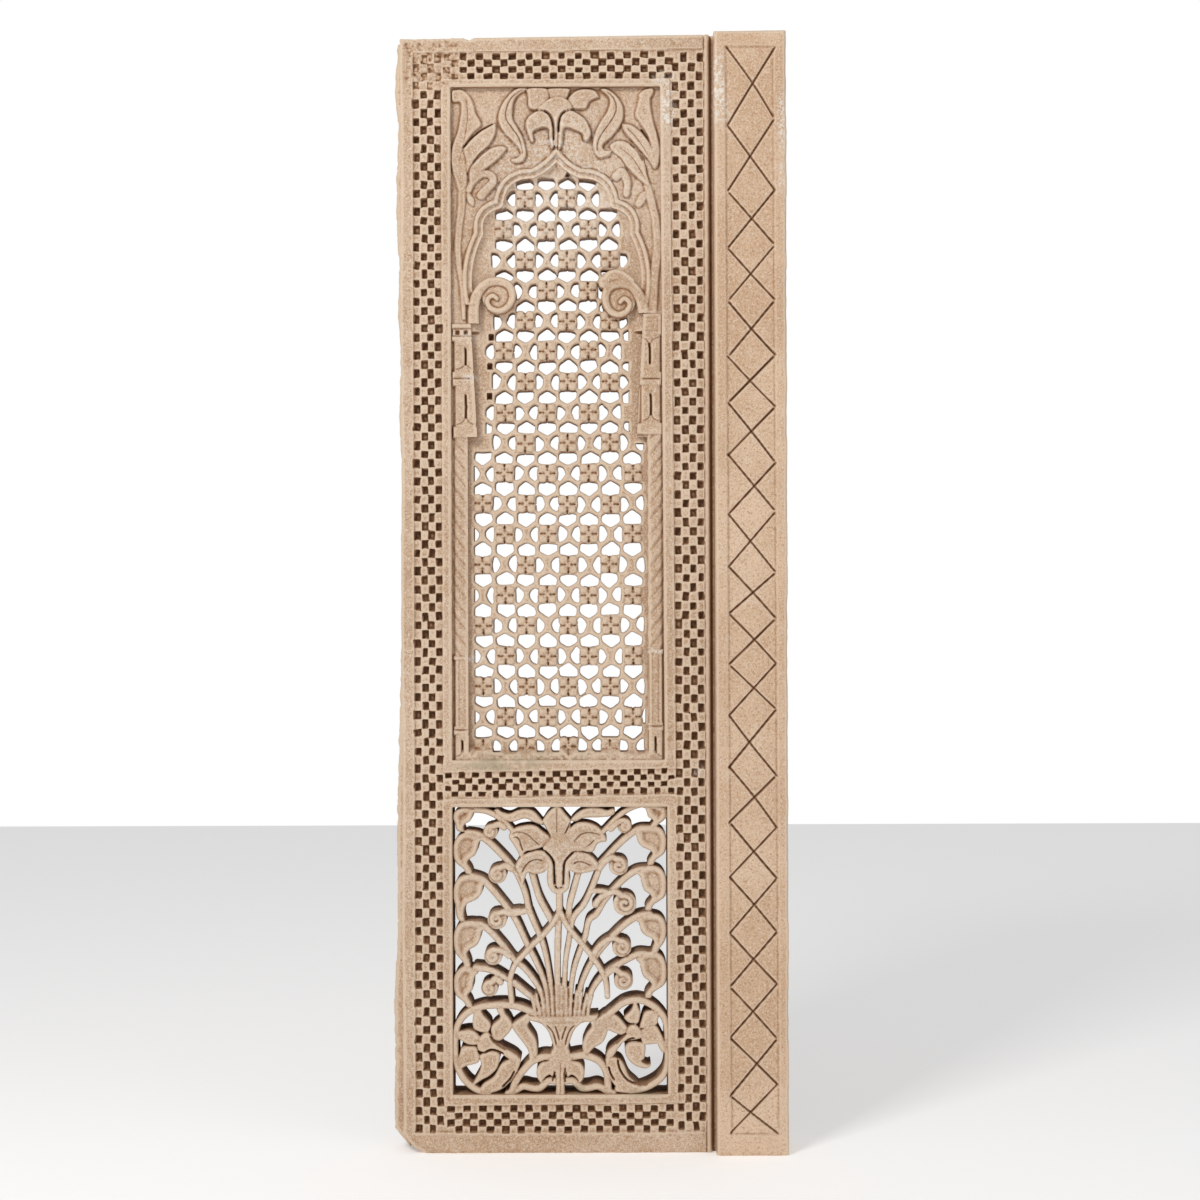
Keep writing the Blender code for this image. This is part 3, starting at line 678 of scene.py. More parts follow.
def staggered(index, start, pitch, shift, count):
    """Places along a band, where every second row or column is shifted."""
    return [start + pitch * step + (shift if index % 2 else 0.0) for step in range(count)]


def band_pits(random):
    """Centre, half-width and half-height of each sunk square of the checkered bands."""
    pits = []

    def add(across, up, wide, high):
        pits.append((across + random.normal(0, 0.35), up + random.normal(0, 0.35),
                     wide + random.normal(0, 0.3), high + random.normal(0, 0.35)))

    for index, across in enumerate(LEFT_PIT_COLUMNS):
        for up in staggered(index, 30.5, 22.5, 11.25, 60):
            if up < BAND_TOP - 5.0:
                add(across, up, 3.5, 4.8)
    for index, (top, foot) in enumerate(RIGHT_PIT_COLUMNS):
        for up in staggered(index, 33.0, 23.25, 11.6, 58):
            if up < BAND_TOP - 2.0:
                add(foot + (top - foot) * up / STONE_TOP, up, 3.6, 4.9)
    for index, up in enumerate(TOP_PIT_ROWS):
        for across in staggered(index, -176.5, 20.6, 10.3, 14):
            if across < 104.0:
                add(across, up + TOP_SLOPE * (across + SLOPE_CENTRE) * (1 - index / 4), 4.4, 3.7)
    for index, up in enumerate(MIDDLE_PIT_ROWS):
        for across in staggered(index, -177.0, 16.9, 8.4, 17):
            if across < 104.0:
                add(across, up + MIDDLE_SLOPE * (across + SLOPE_CENTRE), 3.7, 3.1)
    for index, up in enumerate(BOTTOM_PIT_ROWS):
        for across in staggered(index, -175.0, 19.6, 9.8, 15):
            if across < 106.0:
                add(across, up, 4.3, 3.7)
    return pits


def draw_frame(sheet):
    """Plain border, checkered bands, both frames, and the bead and groove beside the pilaster."""
    sheet.start(0.0)
    x, z = sheet.x, sheet.z
    outline = np.minimum(x - face_left(z), stone_top(x) - z)
    sheet.catch_edge(WHOLE, outline)
    sheet.stone = outline
    band = np.minimum(np.minimum(x - BAND_LEFT, BEAD_LEFT - 1.0 - x),
                      np.minimum(z - BAND_BOTTOM, BAND_TOP + TOP_SLOPE * (x + SLOPE_CENTRE) - z))
    for rim in (upper_frame(), lower_frame()):
        view = sheet.around(rim, 60.0)
        inside = measure(rim, x[view], z[view], closed=True)[0]
        band[view] = np.minimum(band[view], -inside)
    sheet.sink(WHOLE, band, BAND_DEPTH, 1.2)
    random = np.random.default_rng(11)
    for across, up, wide, high in band_pits(random):
        worn = across < WORN_RIGHT and up > WORN_FOOT
        pit = box(across - wide, across + wide, up - high, up + high)
        view = sheet.around(pit, 2.5)
        lean = random.normal(0, 0.05)
        aside = np.abs(x[view] - across - lean * (z[view] - up)) - wide - PIT_SPREAD + PIT_CORNER
        above = np.abs(z[view] - up + lean * (x[view] - across)) - high - PIT_SPREAD + PIT_CORNER
        outward = np.hypot(np.maximum(aside, 0), np.maximum(above, 0))
        corner = outward + np.minimum(np.maximum(aside, above), 0)
        deep = PIT_DEPTH * random.uniform(0.75, 1.1) * (WORN_SHARE if worn else 1.0)
        sheet.sink(view, PIT_CORNER - corner, deep, 0.7)
    bead = np.abs(x - (BEAD_LEFT + BEAD_RIGHT) / 2)
    half = (BEAD_RIGHT - BEAD_LEFT) / 2
    on_bead = bead < half + 0.3
    sheet.depth = np.where(on_bead, 1.6 - 2.6 * np.sqrt(np.clip(1 - (bead / half) ** 2, 0, 1)), sheet.depth)
    sheet.catch(WHOLE, BEAD_LEFT - x, 0 * x)
    sheet.catch(WHOLE, BEAD_RIGHT - x, 0 * x)
    sheet.depth = np.where(x > BEAD_RIGHT + 0.3, GROOVE_DEPTH + 3.0, sheet.depth)
    for window in (upper_window(), box(LOWER_LEFT, LOWER_RIGHT, LOWER_SILL, LOWER_TOP)):
        sheet.cut(window)
    sheet.cut(list(BROKEN_CORNER))
    sheet.cut(list(TOP_CHIP))
    sheet.depth += falling(np.maximum(sheet.stone, 0.0), 2.4, 1.8)
    sheet.depth += 2.2 * swell(8.0 - z, 0.0, 8.0) * (1.0 + 0.5 * uneven(x, z, 9.0, 3))
    crumble = swell(-150.0 - x, 0.0, 22.0) * swell(z, 1318.0, 1350.0) * swell(x + 232.0, 0.0, 6.0)
    sheet.depth += crumble * (1.6 + 2.2 * uneven(x, z, 6.0, 8) + 1.2 * uneven(x, z, 2.5, 9))
    sheet.wear(0.22, 0.2, 2)


def tongue_outline():
    """Rough set-back edge that shows beyond the face on the left."""
    edge = [(-246.6, 28), (-247.0, 60), (-246.0, 120), (-246.8, 184), (-241.5, 285), (-242.5, 410),
            (-240.0, 514), (-233.6, 733), (-237, 773), (-233.4, 812), (-238, 920), (-236, 1010),
            (-239.4, 1048), (-237.5, 1105), (-241.8, 1183), (-238.6, 1285), (-242.5, 1333), (-238.4, 1391)]
    return [(TONGUE_ROOT, 3.0)] + edge + [(TONGUE_ROOT, 1391)]


def draw_tongue(sheet):
    """The broken edge of the tongue along the left side."""
    sheet.start()
    outline = tongue_outline()
    inside = measure(outline, sheet.x, sheet.z, closed=True)[0]
    inside += 0.9 * uneven(sheet.x, sheet.z, 11.0, 21) + 0.5 * uneven(sheet.x, sheet.z, 4.0, 22)
    depth = TONGUE_FRONT + 1.0 + falling(inside, 6.0, 5.0) + 1.2 * uneven(sheet.x, sheet.z, 9.0, 23)
    sheet.lay(WHOLE, inside, depth)
    sheet.wear(0.5, 0.3, 24)


# Heights at which the incised lines turn at each side of the pilaster's field
TURNS_LEFT = (
    1281.4, 1199.4, 1128.6, 1062.8, 993.3, 936.1, 871.6, 797.7, 732.5, 674.1, 610.8, 547.5, 483.5, 414.6,
    346.3, 276.7, 209.7, 146.4, 74.3)
TURNS_RIGHT = (
    1289.5, 1200.6, 1132.3, 1064.0, 995.7, 931.2, 861.6, 800.8, 725.0, 667.9, 612.0, 554.9, 472.9, 407.9,
    344.7, 278.0, 213.4, 145.1, 88.5)


def strokes(random, side):
    """The cuts of one incised line that swings across the pilaster's field."""
    middle = (FIELD_LEFT + FIELD_RIGHT) / 2 + 0.3
    reach = (FIELD_RIGHT - FIELD_LEFT) / 2 - 2.0
    spine = [(middle + side * reach, FIELD_TOP - 4.0)]
    for left, right in zip(TURNS_LEFT, TURNS_RIGHT):
        side = -side
        spine.append((middle + side * reach, left if side < 0 else right))
    spine.append((middle - side * reach, FIELD_BOTTOM + 3.0))
    cuts = []
    for start, end in zip(spine, spine[1:]):
        run, rise = end[0] - start[0], end[1] - start[1]
        early, late = random.uniform(-0.03, 0.02, 2)
        bow = random.normal(0, 0.6)
        cuts.append([(start[0] + run * early, start[1] + rise * early),
                     (start[0] + run * 0.5 + bow, start[1] + rise * 0.5 + bow),
                     (end[0] - run * late, end[1] - rise * late)])
    return cuts


def draw_pilaster(sheet):
    """Plain strip that stands forward, with a sunk field and incised lozenges."""
    sheet.start(PILASTER_FRONT)
    x, z = sheet.x, sheet.z
    right = STONE_RIGHT - 0.9 + 0.6 * uneven(z, 0 * z, 31.0, 31) + 0.3 * uneven(z, 0 * z, 7.0, 32)
    outline = np.minimum(np.minimum(x - PILASTER_LEFT, right - x), stone_top(x) - z)
    sheet.catch_edge(WHOLE, outline)
    sheet.stone = outline
    lean = (z / STONE_TOP - 0.5) * 4.0
    field = np.minimum(np.minimum(x - FIELD_LEFT + lean, FIELD_RIGHT - lean - x),
                       np.minimum(z - FIELD_BOTTOM, FIELD_TOP - z))
    sheet.sink(WHOLE, field, 2.4, 2.2)
    random = np.random.default_rng(34)
    for side in (-1, 1):
        for cut in strokes(random, side):
            sheet.slit(cut, random.uniform(2.6, 3.5), random.uniform(3.4, 4.6))
    sheet.depth += falling(np.maximum(sheet.stone, 0.0), 4.5, 3.4)
    sheet.depth += 2.6 * swell(7.0 - z, 0.0, 7.0)
    sheet.wear(0.25, 0.12, 33)


def arch_half():
    """Left half of the arch band's middle line, foot to apex: three foils and the pointed crown."""
    foot, cusp_low, cusp_mid, cusp_high = (-109, 1060), (-98.5, 1151.5), (-73.5, 1189), (-30, 1227)
    apex = (0, 1251)
    line = swung(foot, cusp_low, 8.5, 12)
    line += swung(cusp_low, cusp_mid, 10.0, 12)
    line += swung(cusp_mid, cusp_high, 13.0, 12)
    line += swung(cusp_high, apex, -2.5, 4)
    return line + [apex]


def arch_line():
    """The whole middle line of the arch band, left foot to right foot."""
    left = arch_half()
    return left + mirrored(left[-2::-1])


def screen_opening():
    """The arch, and the opening between the shafts below it."""
    throat, wide, cushion, floor = 100.0, 112.0, 896.0, UPPER_SILL - 12.0
    below = [(-throat, cushion), (-wide, cushion), (-wide, floor),
             (wide + 1.0, floor), (wide + 1.0, cushion), (throat, cushion)]
    return shifted(arch_line()[::-1] + below, UPPER_AXIS)


def spandrel_left():
    """Leaves of the left-hand spandrel as outline, front depth and sunk belly."""
    tall = [(-130.7, 1329), (-125.9, 1331), (-118.2, 1331), (-109.6, 1325), (-103.9, 1314), (-101, 1302),
            (-94.9, 1291), (-95, 1285), (-103.9, 1277.5), (-116.3, 1258), (-114.4, 1247), (-112.5, 1232),
            (-112, 1212), (-121, 1203), (-126, 1216), (-130.7, 1232), (-132.4, 1247), (-129.7, 1262),
            (-124, 1277.5), (-121, 1291), (-119.2, 1306), (-120, 1315.7), (-126, 1316), (-130.7, 1318)]
    upper_side = [(-75.5, 1288), (-75.5, 1288), (-80, 1287.5), (-89.5, 1282.3), (-101, 1273.6), (-109, 1266),
                  (-116, 1256.4), (-114, 1245), (-112.5, 1231.6), (-111.5, 1227.8), (-105.8, 1237.3),
                  (-97.2, 1247), (-87.6, 1257.4), (-80, 1268), (-76, 1277.5)]
    lower_side = [(-62, 1258), (-62, 1258), (-68.5, 1260.3), (-80, 1258.4), (-91.4, 1250.7), (-104, 1238.3),
                  (-109, 1228), (-107, 1212), (-99, 1224), (-87.6, 1232.5), (-74.2, 1243), (-64, 1254)]
    sway = [(-37.9, 1333.3), (-49.4, 1332), (-60.8, 1322.4), (-69.4, 1309), (-72.7, 1294.7), (-69.4, 1284.2),
            (-62.7, 1274.6), (-53.2, 1265), (-47.4, 1258.4), (-44.6, 1250.7), (-49.4, 1245.5), (-56, 1244.5),
            (-55.5, 1240.5), (-46, 1239.5), (-39, 1245), (-37.9, 1254.5), (-41.7, 1269.8), (-48.4, 1283.2),
            (-54.1, 1292.8), (-55, 1302.3), (-53.2, 1315.7), (-47.4, 1325.3), (-38.8, 1330)]
    drop_leaf = [(-112, 1203), (-107, 1200), (-102.5, 1192), (-104, 1185), (-109, 1188), (-112.5, 1196)]
    return [(tall, 4.6, 0.6), (upper_side, 3.6, 0.5), (lower_side, 3.4, 0.5), (sway, 3.4, 0.0),
            (drop_leaf, 5.0, 0.0)]


def spandrel_right():
    """Leaves of the right-hand spandrel."""
    tall = [(103.7, 1325.3), (111.3, 1331), (120.9, 1332.6), (121.8, 1326), (118, 1319.6), (118.6, 1308),
            (121.8, 1291), (126.6, 1273.6), (130.4, 1254.5), (128.6, 1239.2), (123.8, 1231.6), (121, 1247),
            (117, 1266), (111.3, 1279.4), (103.7, 1291), (99, 1298.5), (100.8, 1308), (103.7, 1319.6)]
    upper_side = [(82.6, 1288), (82.6, 1288), (92.2, 1287), (101.8, 1281.3), (111.3, 1271.7), (119, 1258.4),
                  (125.7, 1239.2), (122.8, 1231.6), (115.2, 1243), (105.6, 1254.5), (94.1, 1268),
                  (84.6, 1279.4)]
    lower_side = [(67, 1261.2), (67, 1261.2), (75, 1266), (84.6, 1266), (96, 1260.3), (103.7, 1252.6),
                  (110.4, 1239.2), (113.3, 1224), (117, 1212.4), (113.3, 1210.5), (103.7, 1218.2),
                  (92.2, 1229.7), (84.6, 1239.2), (80.7, 1245), (69.3, 1254.5)]
    sway = [(55.9, 1331), (65.4, 1322.4), (67.3, 1313.8), (63.5, 1302.3), (55.9, 1290.9), (49.2, 1277.5),
            (46.3, 1264), (47.3, 1254.5), (52, 1246.5), (58, 1245.5), (67.3, 1249.2), (69, 1255),
            (63.5, 1254.2), (58.7, 1256.5), (58.7, 1262.2), (67.3, 1269.8), (75, 1278.4), (82.6, 1290.9),
            (84.2, 1302.3), (82.6, 1311.9), (75, 1323.4), (63.5, 1331.4)]
    small = [(98.9, 1185.7), (100.8, 1193.3), (105.6, 1201), (112.3, 1203), (113.3, 1195.2), (105.6, 1183.8)]
    return [(tall, 4.6, 0.6), (upper_side, 3.8, 0.5), (lower_side, 3.4, 0.5), (sway, 3.4, 0.0),
            (small, 5.0, 0.0)]


def draw_lily(sheet, axis):
    """The lily above the arch."""
    bud = [(-9, 1332.6), (15.4, 1332.6), (15.4, 1326), (11, 1319), (-5, 1319), (-9, 1326)]
    left_side = [(-35, 1332.6), (-13, 1332.6), (-8.8, 1323.4), (-11, 1317.7), (-22.6, 1307), (-30, 1306.5),
                 (-34.6, 1310), (-35, 1321.5)]
    right_side = [(15.3, 1318.6), (23.3, 1328.2), (34.8, 1331.4), (48.2, 1329.5), (54, 1321.5), (54, 1321.5),
                  (48.2, 1319.6), (41.5, 1315.7), (37.7, 1308), (33.9, 1307), (23.3, 1307), (17.6, 1312.9)]
    left_droop = [(-8, 1300), (-20.7, 1304), (-30.2, 1300.4), (-37, 1292.8), (-38, 1285), (-36, 1277.5),
                  (-32, 1267), (-28.3, 1266), (-29.3, 1277.5), (-22.6, 1282.3), (-14.9, 1283.6),
                  (-9.2, 1280.3), (-8.2, 1264), (-5, 1257), (-2.5, 1266), (-3.2, 1281.3), (-6, 1294.7)]
    right_droop = [(6.5, 1299), (17.6, 1304.3), (27.2, 1300.4), (36.7, 1292.8), (41.5, 1283.2),
                   (43.4, 1275.6), (39.6, 1267), (34.8, 1268), (32.9, 1275.6), (25.3, 1279.4),
                   (15.7, 1283.2), (10.3, 1283), (8.3, 1277.5), (7, 1262.2), (3.2, 1256), (2.2, 1270),
                   (3, 1281.3), (4.6, 1292.8)]
    cap = [(-22.6, 1307), (-11, 1317.7), (2.3, 1322), (13.8, 1317.7), (20, 1308), (13.8, 1305), (7, 1300),
           (2.8, 1290), (2, 1281), (1.6, 1268), (0, 1254), (-1.8, 1268), (-2, 1283), (-5, 1297),
           (-11, 1302.5), (-18.7, 1305.2)]
    for outline, front in ((bud, 4.0), (left_side, 3.6), (right_side, 3.6), (left_droop, 2.4),
                           (right_droop, 2.4), (cap, 1.6)):
        sheet.form(shifted(outline, axis), front, 3.2, 2.2, crown=0.6)
    for spine in ([(-16, 1304.8), (-8.6, 1299), (-4.2, 1287), (-3.2, 1266)],
                  [(12.5, 1304.4), (6.3, 1299), (3.3, 1289), (2.9, 1276)]):
        sheet.slit(shifted(spine, axis), 2.4, 8.0)


# Middle line of each curling bracket, from its capital to its eye
LEFT_VOLUTE = [(-104, 1036), (-104, 1055.5), (-100.5, 1073), (-89, 1087.5), (-73.5, 1091), (-60, 1085.5),
               (-55.5, 1073), (-60, 1060.5), (-71, 1054), (-82.5, 1057), (-87, 1066.5), (-80.5, 1073),
               (-74.5, 1069)]
RIGHT_VOLUTE = [(109, 1040), (109, 1052), (105, 1069), (94, 1084.5), (78.5, 1087.5), (65.5, 1082), (61, 1069),
                (65.5, 1055.5), (76, 1049), (87, 1052.5), (91.5, 1062), (85, 1069), (79.5, 1064.5)]
VOLUTE_LEAVES = (
    [(62, 1088), (58, 1096), (64, 1103), (76, 1106), (88, 1101), (98, 1092), (92, 1088), (76, 1092)],
    [(56, 1082), (52, 1090), (56, 1097), (64, 1093), (68, 1085)])


def draw_volute(sheet, spine, centre, radius, width):
    """A curling bracket: its stem rises from the capital and winds in to an eye."""
    sheet.form(shifted(circle(centre, radius, 28), UPPER_AXIS), 6.4, 3.0, 2.0, smooth=False)
    sheet.bar(shifted(spine, UPPER_AXIS), width, 2.4, width * 0.42, drop=4.0, flat=0.15)


def draw_moulding(sheet):
    """The moulding round the arch: a raised fillet and a bevel that falls towards the screen."""
    x, z = sheet.x, sheet.z
    arch = measure(screen_opening(), x, z, closed=True)[0]
    inside = np.minimum(np.minimum(arch + FILLET, BEVEL - arch), z - UPPER_SPRING)
    fillet = 3.8 + falling(np.minimum(arch + FILLET, 0.8 - arch), 2.4, 3.2)
    depth = np.where(arch < 0.8, fillet, FAR)
    bevel = 6.4 + 0.7 * np.maximum(arch, 0.0)
    sheet.lay(WHOLE, inside, np.minimum(depth, bevel))


def draw_spandrels(sheet):
    """Everything round the arch, down to the capitals."""
    axis = UPPER_AXIS
    sheet.start(GROUND_DEPTH)
    x, z = sheet.x, sheet.z
    sheet.depth += 0.8 * uneven(x, z, 17.0, 41)
    for outline, front, belly in spandrel_left() + spandrel_right():
        sheet.form(shifted(outline, axis), front, 3.0, 2.3, belly=belly)
    left_hook = [(-109.6, 1205.7), (-103.9, 1217.2), (-91.4, 1225.8), (-81.5, 1223.5), (-79.5, 1215.5),
                 (-87.6, 1206), (-94, 1199)]
    right_hook = [(75, 1222), (81, 1228), (86.5, 1222), (89, 1212), (87.6, 1200)]
    sheet.bar(shifted(left_hook, axis), 7.5, 3.8, 12.5)
    sheet.bar(shifted(right_hook, axis), 12.0, 3.8, 9.0)
    left_stem = [(-118, 1207), (-119.2, 1182), (-122, 1159), (-123.5, 1134), (-122, 1109), (-118.5, 1086),
                 (-116.5, 1045)]
    right_stem = [(114.5, 1210), (121, 1182), (125, 1163), (126.5, 1134), (124.5, 1112), (121.5, 1090),
                  (119.5, 1050)]
    sheet.bar(shifted(left_stem, axis), 10.5, 5.6, 6.0, drop=2.6, flat=0.4)
    sheet.bar(shifted(right_stem, axis), 10.0, 5.6, 13.0, drop=2.6, flat=0.4)
    draw_lily(sheet, axis)
    left_sway = [(-40, 1332), (-55, 1321.5), (-61.8, 1308), (-62.7, 1294.7), (-55, 1282.3),
                 (-47.4, 1271.7), (-43.0, 1258), (-42.5, 1249)]
    right_sway = [(62, 1330), (73, 1318), (75, 1304), (68, 1290), (57, 1275), (51.5, 1262), (52, 1253)]
    for spine, width, deep in (
            (left_sway, 2.4, 2.4),
            (right_sway, 2.4, 2.4),
            ([(-79, 1288.6), (-95.3, 1280), (-106.7, 1270.4), (-117, 1258)], 2.4, 8.0),
            ([(-85.7, 1258), (-95.3, 1250.3), (-104.6, 1239)], 2.4, 8.0),
            ([(105.6, 1282.3), (111.3, 1274.6), (115.6, 1268)], 2.4, 8.0),
            ([(92.2, 1263.1), (101.8, 1253.6), (108.5, 1241.1)], 2.4, 8.0),
            ([(-112.5, 1320), (-111, 1296.6), (-115, 1268), (-122, 1240)], 2.2, 1.4),
            ([(88.4, 1283.2), (103.7, 1266), (122.8, 1236)], 2.2, 1.6),
            ([(78, 1259), (96, 1244), (113, 1216)], 2.2, 1.6)):
        sheet.slit(shifted(spine, axis), width, deep)
    sheet.cut(screen_opening())
    draw_moulding(sheet)
    draw_volute(sheet, LEFT_VOLUTE, (-73.5, 1071.5), 20.0, 15.0)
    draw_volute(sheet, RIGHT_VOLUTE, (77.5, 1067.0), 21.5, 15.5)
    for leaf in VOLUTE_LEAVES:
        sheet.form(shifted(leaf, axis), 3.0, 4.0, 3.4)
    sheet.cut(shifted(box(97.0, 140.0, 1000.0, SEAM_RIGHT), axis))
    sheet.wear(0.3, 0.3, 42)


# Top, bottom, inner and outer edge of each block, and the depth of its front
LEFT_BLOCKS = (
    (1038.0, 1032.0, 95.5, 132.0, 3.0), (1031.5, 1022.5, 97.5, 131.0, 4.6),
    (1022.0, 1016.0, 95.5, 132.0, 3.4),
    (978.0, 969.5, 97.0, 131.5, 3.8), (969.0, 960.0, 98.0, 131.0, 3.2),
    (909.0, 895.0, 97.5, 130.0, 3.5), (621.5, 616.5, 109.0, 130.5, 3.8),
    (533.5, 529.4, 108.5, 130.5, 4.2), (528.6, 523.0, 108.0, 131.0, 4.0))
RIGHT_BLOCKS = (
    (1050.5, 1023.0, 99.5, 131.5, 3.2), (977.0, 968.6, 96.0, 131.5, 3.8), (968.0, 960.0, 96.5, 131.0, 3.2),
    (913.0, 898.5, 97.0, 132.0, 3.5), (629.5, 624.0, 111.5, 132.5, 3.8),
    (538.0, 533.6, 111.0, 132.0, 4.2), (532.8, 528.0, 110.5, 132.5, 4.0))

# Top, bottom, inner and outer edge of each shaft, and how it is worked
LEFT_SHAFTS = (
    (1016.5, 977.5, 100.0, 129.0, "leaf"), (960.5, 908.5, 100.5, 128.0, "leaf"),
    (895.5, 621.0, 110.5, 129.0, "rope"), (617.0, 533.0, 111.0, 129.0, "flute"),
    (523.5, 492.0, 111.0, 129.0, "leaf"))
RIGHT_SHAFTS = (
    (1023.5, 976.5, 102.5, 130.0, "leaf"), (960.5, 912.5, 105.0, 130.0, "leaf"),
    (899.0, 629.0, 113.0, 131.5, "rope"), (624.5, 537.5, 113.5, 131.5, "flute"),
    (528.5, 492.0, 113.0, 131.5, "leaf"))
ROPE_PITCH = 20.0
ROPE_SLOPE = 1.15
ROPE_ROUNDNESS = 2.6
SHAFT_SQUARENESS = 6.0
SLIT_SHARE = 0.2
# A pair of leaves that is longer and higher up than this grows downwards
HANGING_LENGTH = 40.0
HANGING_HEIGHT = 1000.0


def draw_shaft(sheet, side, top, bottom, inner, outer, work):
    """One length of a colonnette: a rope, a fluted shaft or a pair of leaves about a slit."""
    left, right = sorted((UPPER_AXIS + side * inner, UPPER_AXIS + side * outer))
    outline = box(left, right, bottom - 1.0, top + 1.0)
    view = sheet.around(outline)
    x, z = sheet.x[view], sheet.z[view]
    middle, half = (left + right) / 2, (right - left) / 2
    share = np.clip(np.abs(x - middle) / half, 0.0, 1.0)
    inside = np.minimum(half - np.abs(x - middle), np.minimum(z - bottom + 1.0, top + 1.0 - z))
    power = ROPE_ROUNDNESS if work == "rope" else SHAFT_SQUARENESS
    depth = 4.4 + 4.0 * (1.0 - np.sqrt(1.0 - share ** power))
    if work == "rope":
        turn = (z - side * ROPE_SLOPE * (x - middle)) / ROPE_PITCH
        strand = np.abs(np.sin(pi * turn))
        second = np.abs(np.sin(pi * (turn + 0.3)))
        depth = depth + 2.4 * np.clip(1.0 - strand / 0.8, 0, 1) + 1.0 * np.clip(1.0 - second / 0.5, 0, 1)
    if work == "flute":
        depth = depth + 1.5 * np.clip(1.0 - np.abs(np.abs(x - middle) - half * 0.42) / 1.5, 0.0, 1.0)
    if work == "leaf":
        waist = swell(np.minimum(z - bottom, top - z), 0.0, 12.0)
        depth = depth + 1.2 * waist * (1.0 - share)
    sheet.lay(view, inside, depth)
    if work == "leaf":
        tall = top - bottom
        low, high = bottom + tall * SLIT_SHARE, top - tall * SLIT_SHARE
        slit = [(middle - 0.5, high), (middle + 0.5, (low + high) / 2), (middle, low)]
        sheet.slit(slit, 2.6, 9.0, smooth=False)
        hanging = tall > HANGING_LENGTH and top > HANGING_HEIGHT
        foot, lean = (top, -1) if hanging else (bottom, 1)
        for way in (-1, 1):
            curl = [(middle + way * half * 0.95, foot + lean * 3.0),
                    (middle + way * half * 0.35, foot + lean * 5.5),
                    (middle, foot + lean * tall * 0.26)]
            sheet.slit(curl, 2.2, 1.8)


def draw_colonnette(side, blocks, shafts):
    """The drawing of one colonnette: capital, cushions, rope, flutes and base."""
    def draw(sheet):
        sheet.start(GROUND_DEPTH)
        sheet.depth += 0.5 * uneven(sheet.x, sheet.z, 15.0, 51)
        reveal = UPPER_AXIS + side * 110.0
        beside = side * (reveal - sheet.x)
        sheet.depth += 3.5 * swell(beside, 0.0, 3.0)
        for shaft in shafts:
            draw_shaft(sheet, side, *shaft)
        for top, bottom, inner, outer, front in blocks:
            left, right = sorted((UPPER_AXIS + side * inner, UPPER_AXIS + side * outer))
            sheet.form(box(left, right, bottom, top), front, 2.6, 2.2, smooth=False)
        if side < 0:
            for hole in (-124.5, -114.0, -103.5):
                pit = box(UPPER_AXIS + hole - 3.0, UPPER_AXIS + hole + 3.0, 1023.8, 1030.2)
                view = sheet.around(pit, 1.5)
                inside = measure(pit, sheet.x[view], sheet.z[view], closed=True)[0]
                sheet.sink(view, inside, 5.0, 1.4)
        else:
            for inset, deep in ((4.5, 1.1), (9.0, 0.9)):
                ring = box(100.5 + inset, 130.5 - inset, 1024.0 + inset, 1049.0 - inset)
                ring = shifted(ring, UPPER_AXIS)
                sheet.slit(ring + ring[:1], 2.0, deep, smooth=False)
        sheet.cut(screen_opening())
        sheet.wear(0.28, 0.28, 52)
    return draw


# Edge of the pierced part of the screen under the arch, about the window's axis
CROWN = (
    (-77, 1050), (-77, 1104), (-83, 1106), (-83, 1128), (-77, 1131), (-77, 1181), (-64, 1184), (-64, 1204),
    (-50.5, 1207), (-50.5, 1223.5), (50.5, 1223.5), (50.5, 1208), (59, 1206), (59, 1184.5), (83, 1183),
    (83, 1165), (87, 1163), (87, 1142), (79, 1140.5), (79, 1128), (93, 1126), (93, 1105), (56, 1102.5),
    (56, 1050))


def pierced_field(x, z):
    """Distance inside the part of the screen that is pierced."""
    across = x - UPPER_AXIS
    left = np.where(z > CUSHION, 90.0, 105.0)
    right = np.where(z > CUSHION, 90.0, 110.0)
    field = np.minimum(np.minimum(across + left, right - across), z - UPPER_SILL - 9.5)
    crown = measure(shifted(CROWN, UPPER_AXIS), x, z, closed=True)[0]
    return np.where(z > SHOULDER, crown, field)


def house(random, flower_above):
    """An opening between a flower, on its flat side, and a junction, where it comes to a point."""
    way = 1.0 if flower_above else -1.0
    tall = random.uniform(0.9, 1.14)
    drawn = [(-10.9, 6.6), (0.0, 7.4), (10.9, 6.6), (11.5, -2.4), (0.0, -9.6), (-11.5, -2.4)]
    outline = [(x + random.normal(0, 0.6), way * (z * tall + random.normal(0, 0.6))) for x, z in drawn]
    return eased(outline, random.uniform(2.2, 4.0))


def drop(random, flower_left):
    """The half-moon opening beside a flower, curved towards the junction."""
    way = 1.0 if flower_left else -1.0
    wide, tall = random.uniform(0.86, 1.06), random.uniform(0.88, 1.04)
    drawn = [(-0.8, 0.0), (-0.6, -7.0), (0.2, -9.4), (2.4, -10.1), (6.0, -8.0), (9.0, -3.8), (9.9, 0.0),
             (9.0, 3.8), (6.0, 8.0), (2.4, 10.1), (0.2, 9.4), (-0.6, 7.0)]
    return [(way * (x * wide + random.normal(0, 0.3)), z * tall + random.normal(0, 0.35)) for x, z in drawn]


# Petals of the screen's flowers, and the small boss between them
PETAL_SIZE = 5.5
PETAL_ASIDE = 6.0
PETAL_ABOVE = 6.1
PETAL_SQUARENESS = 2.6
BOSS = 3.4


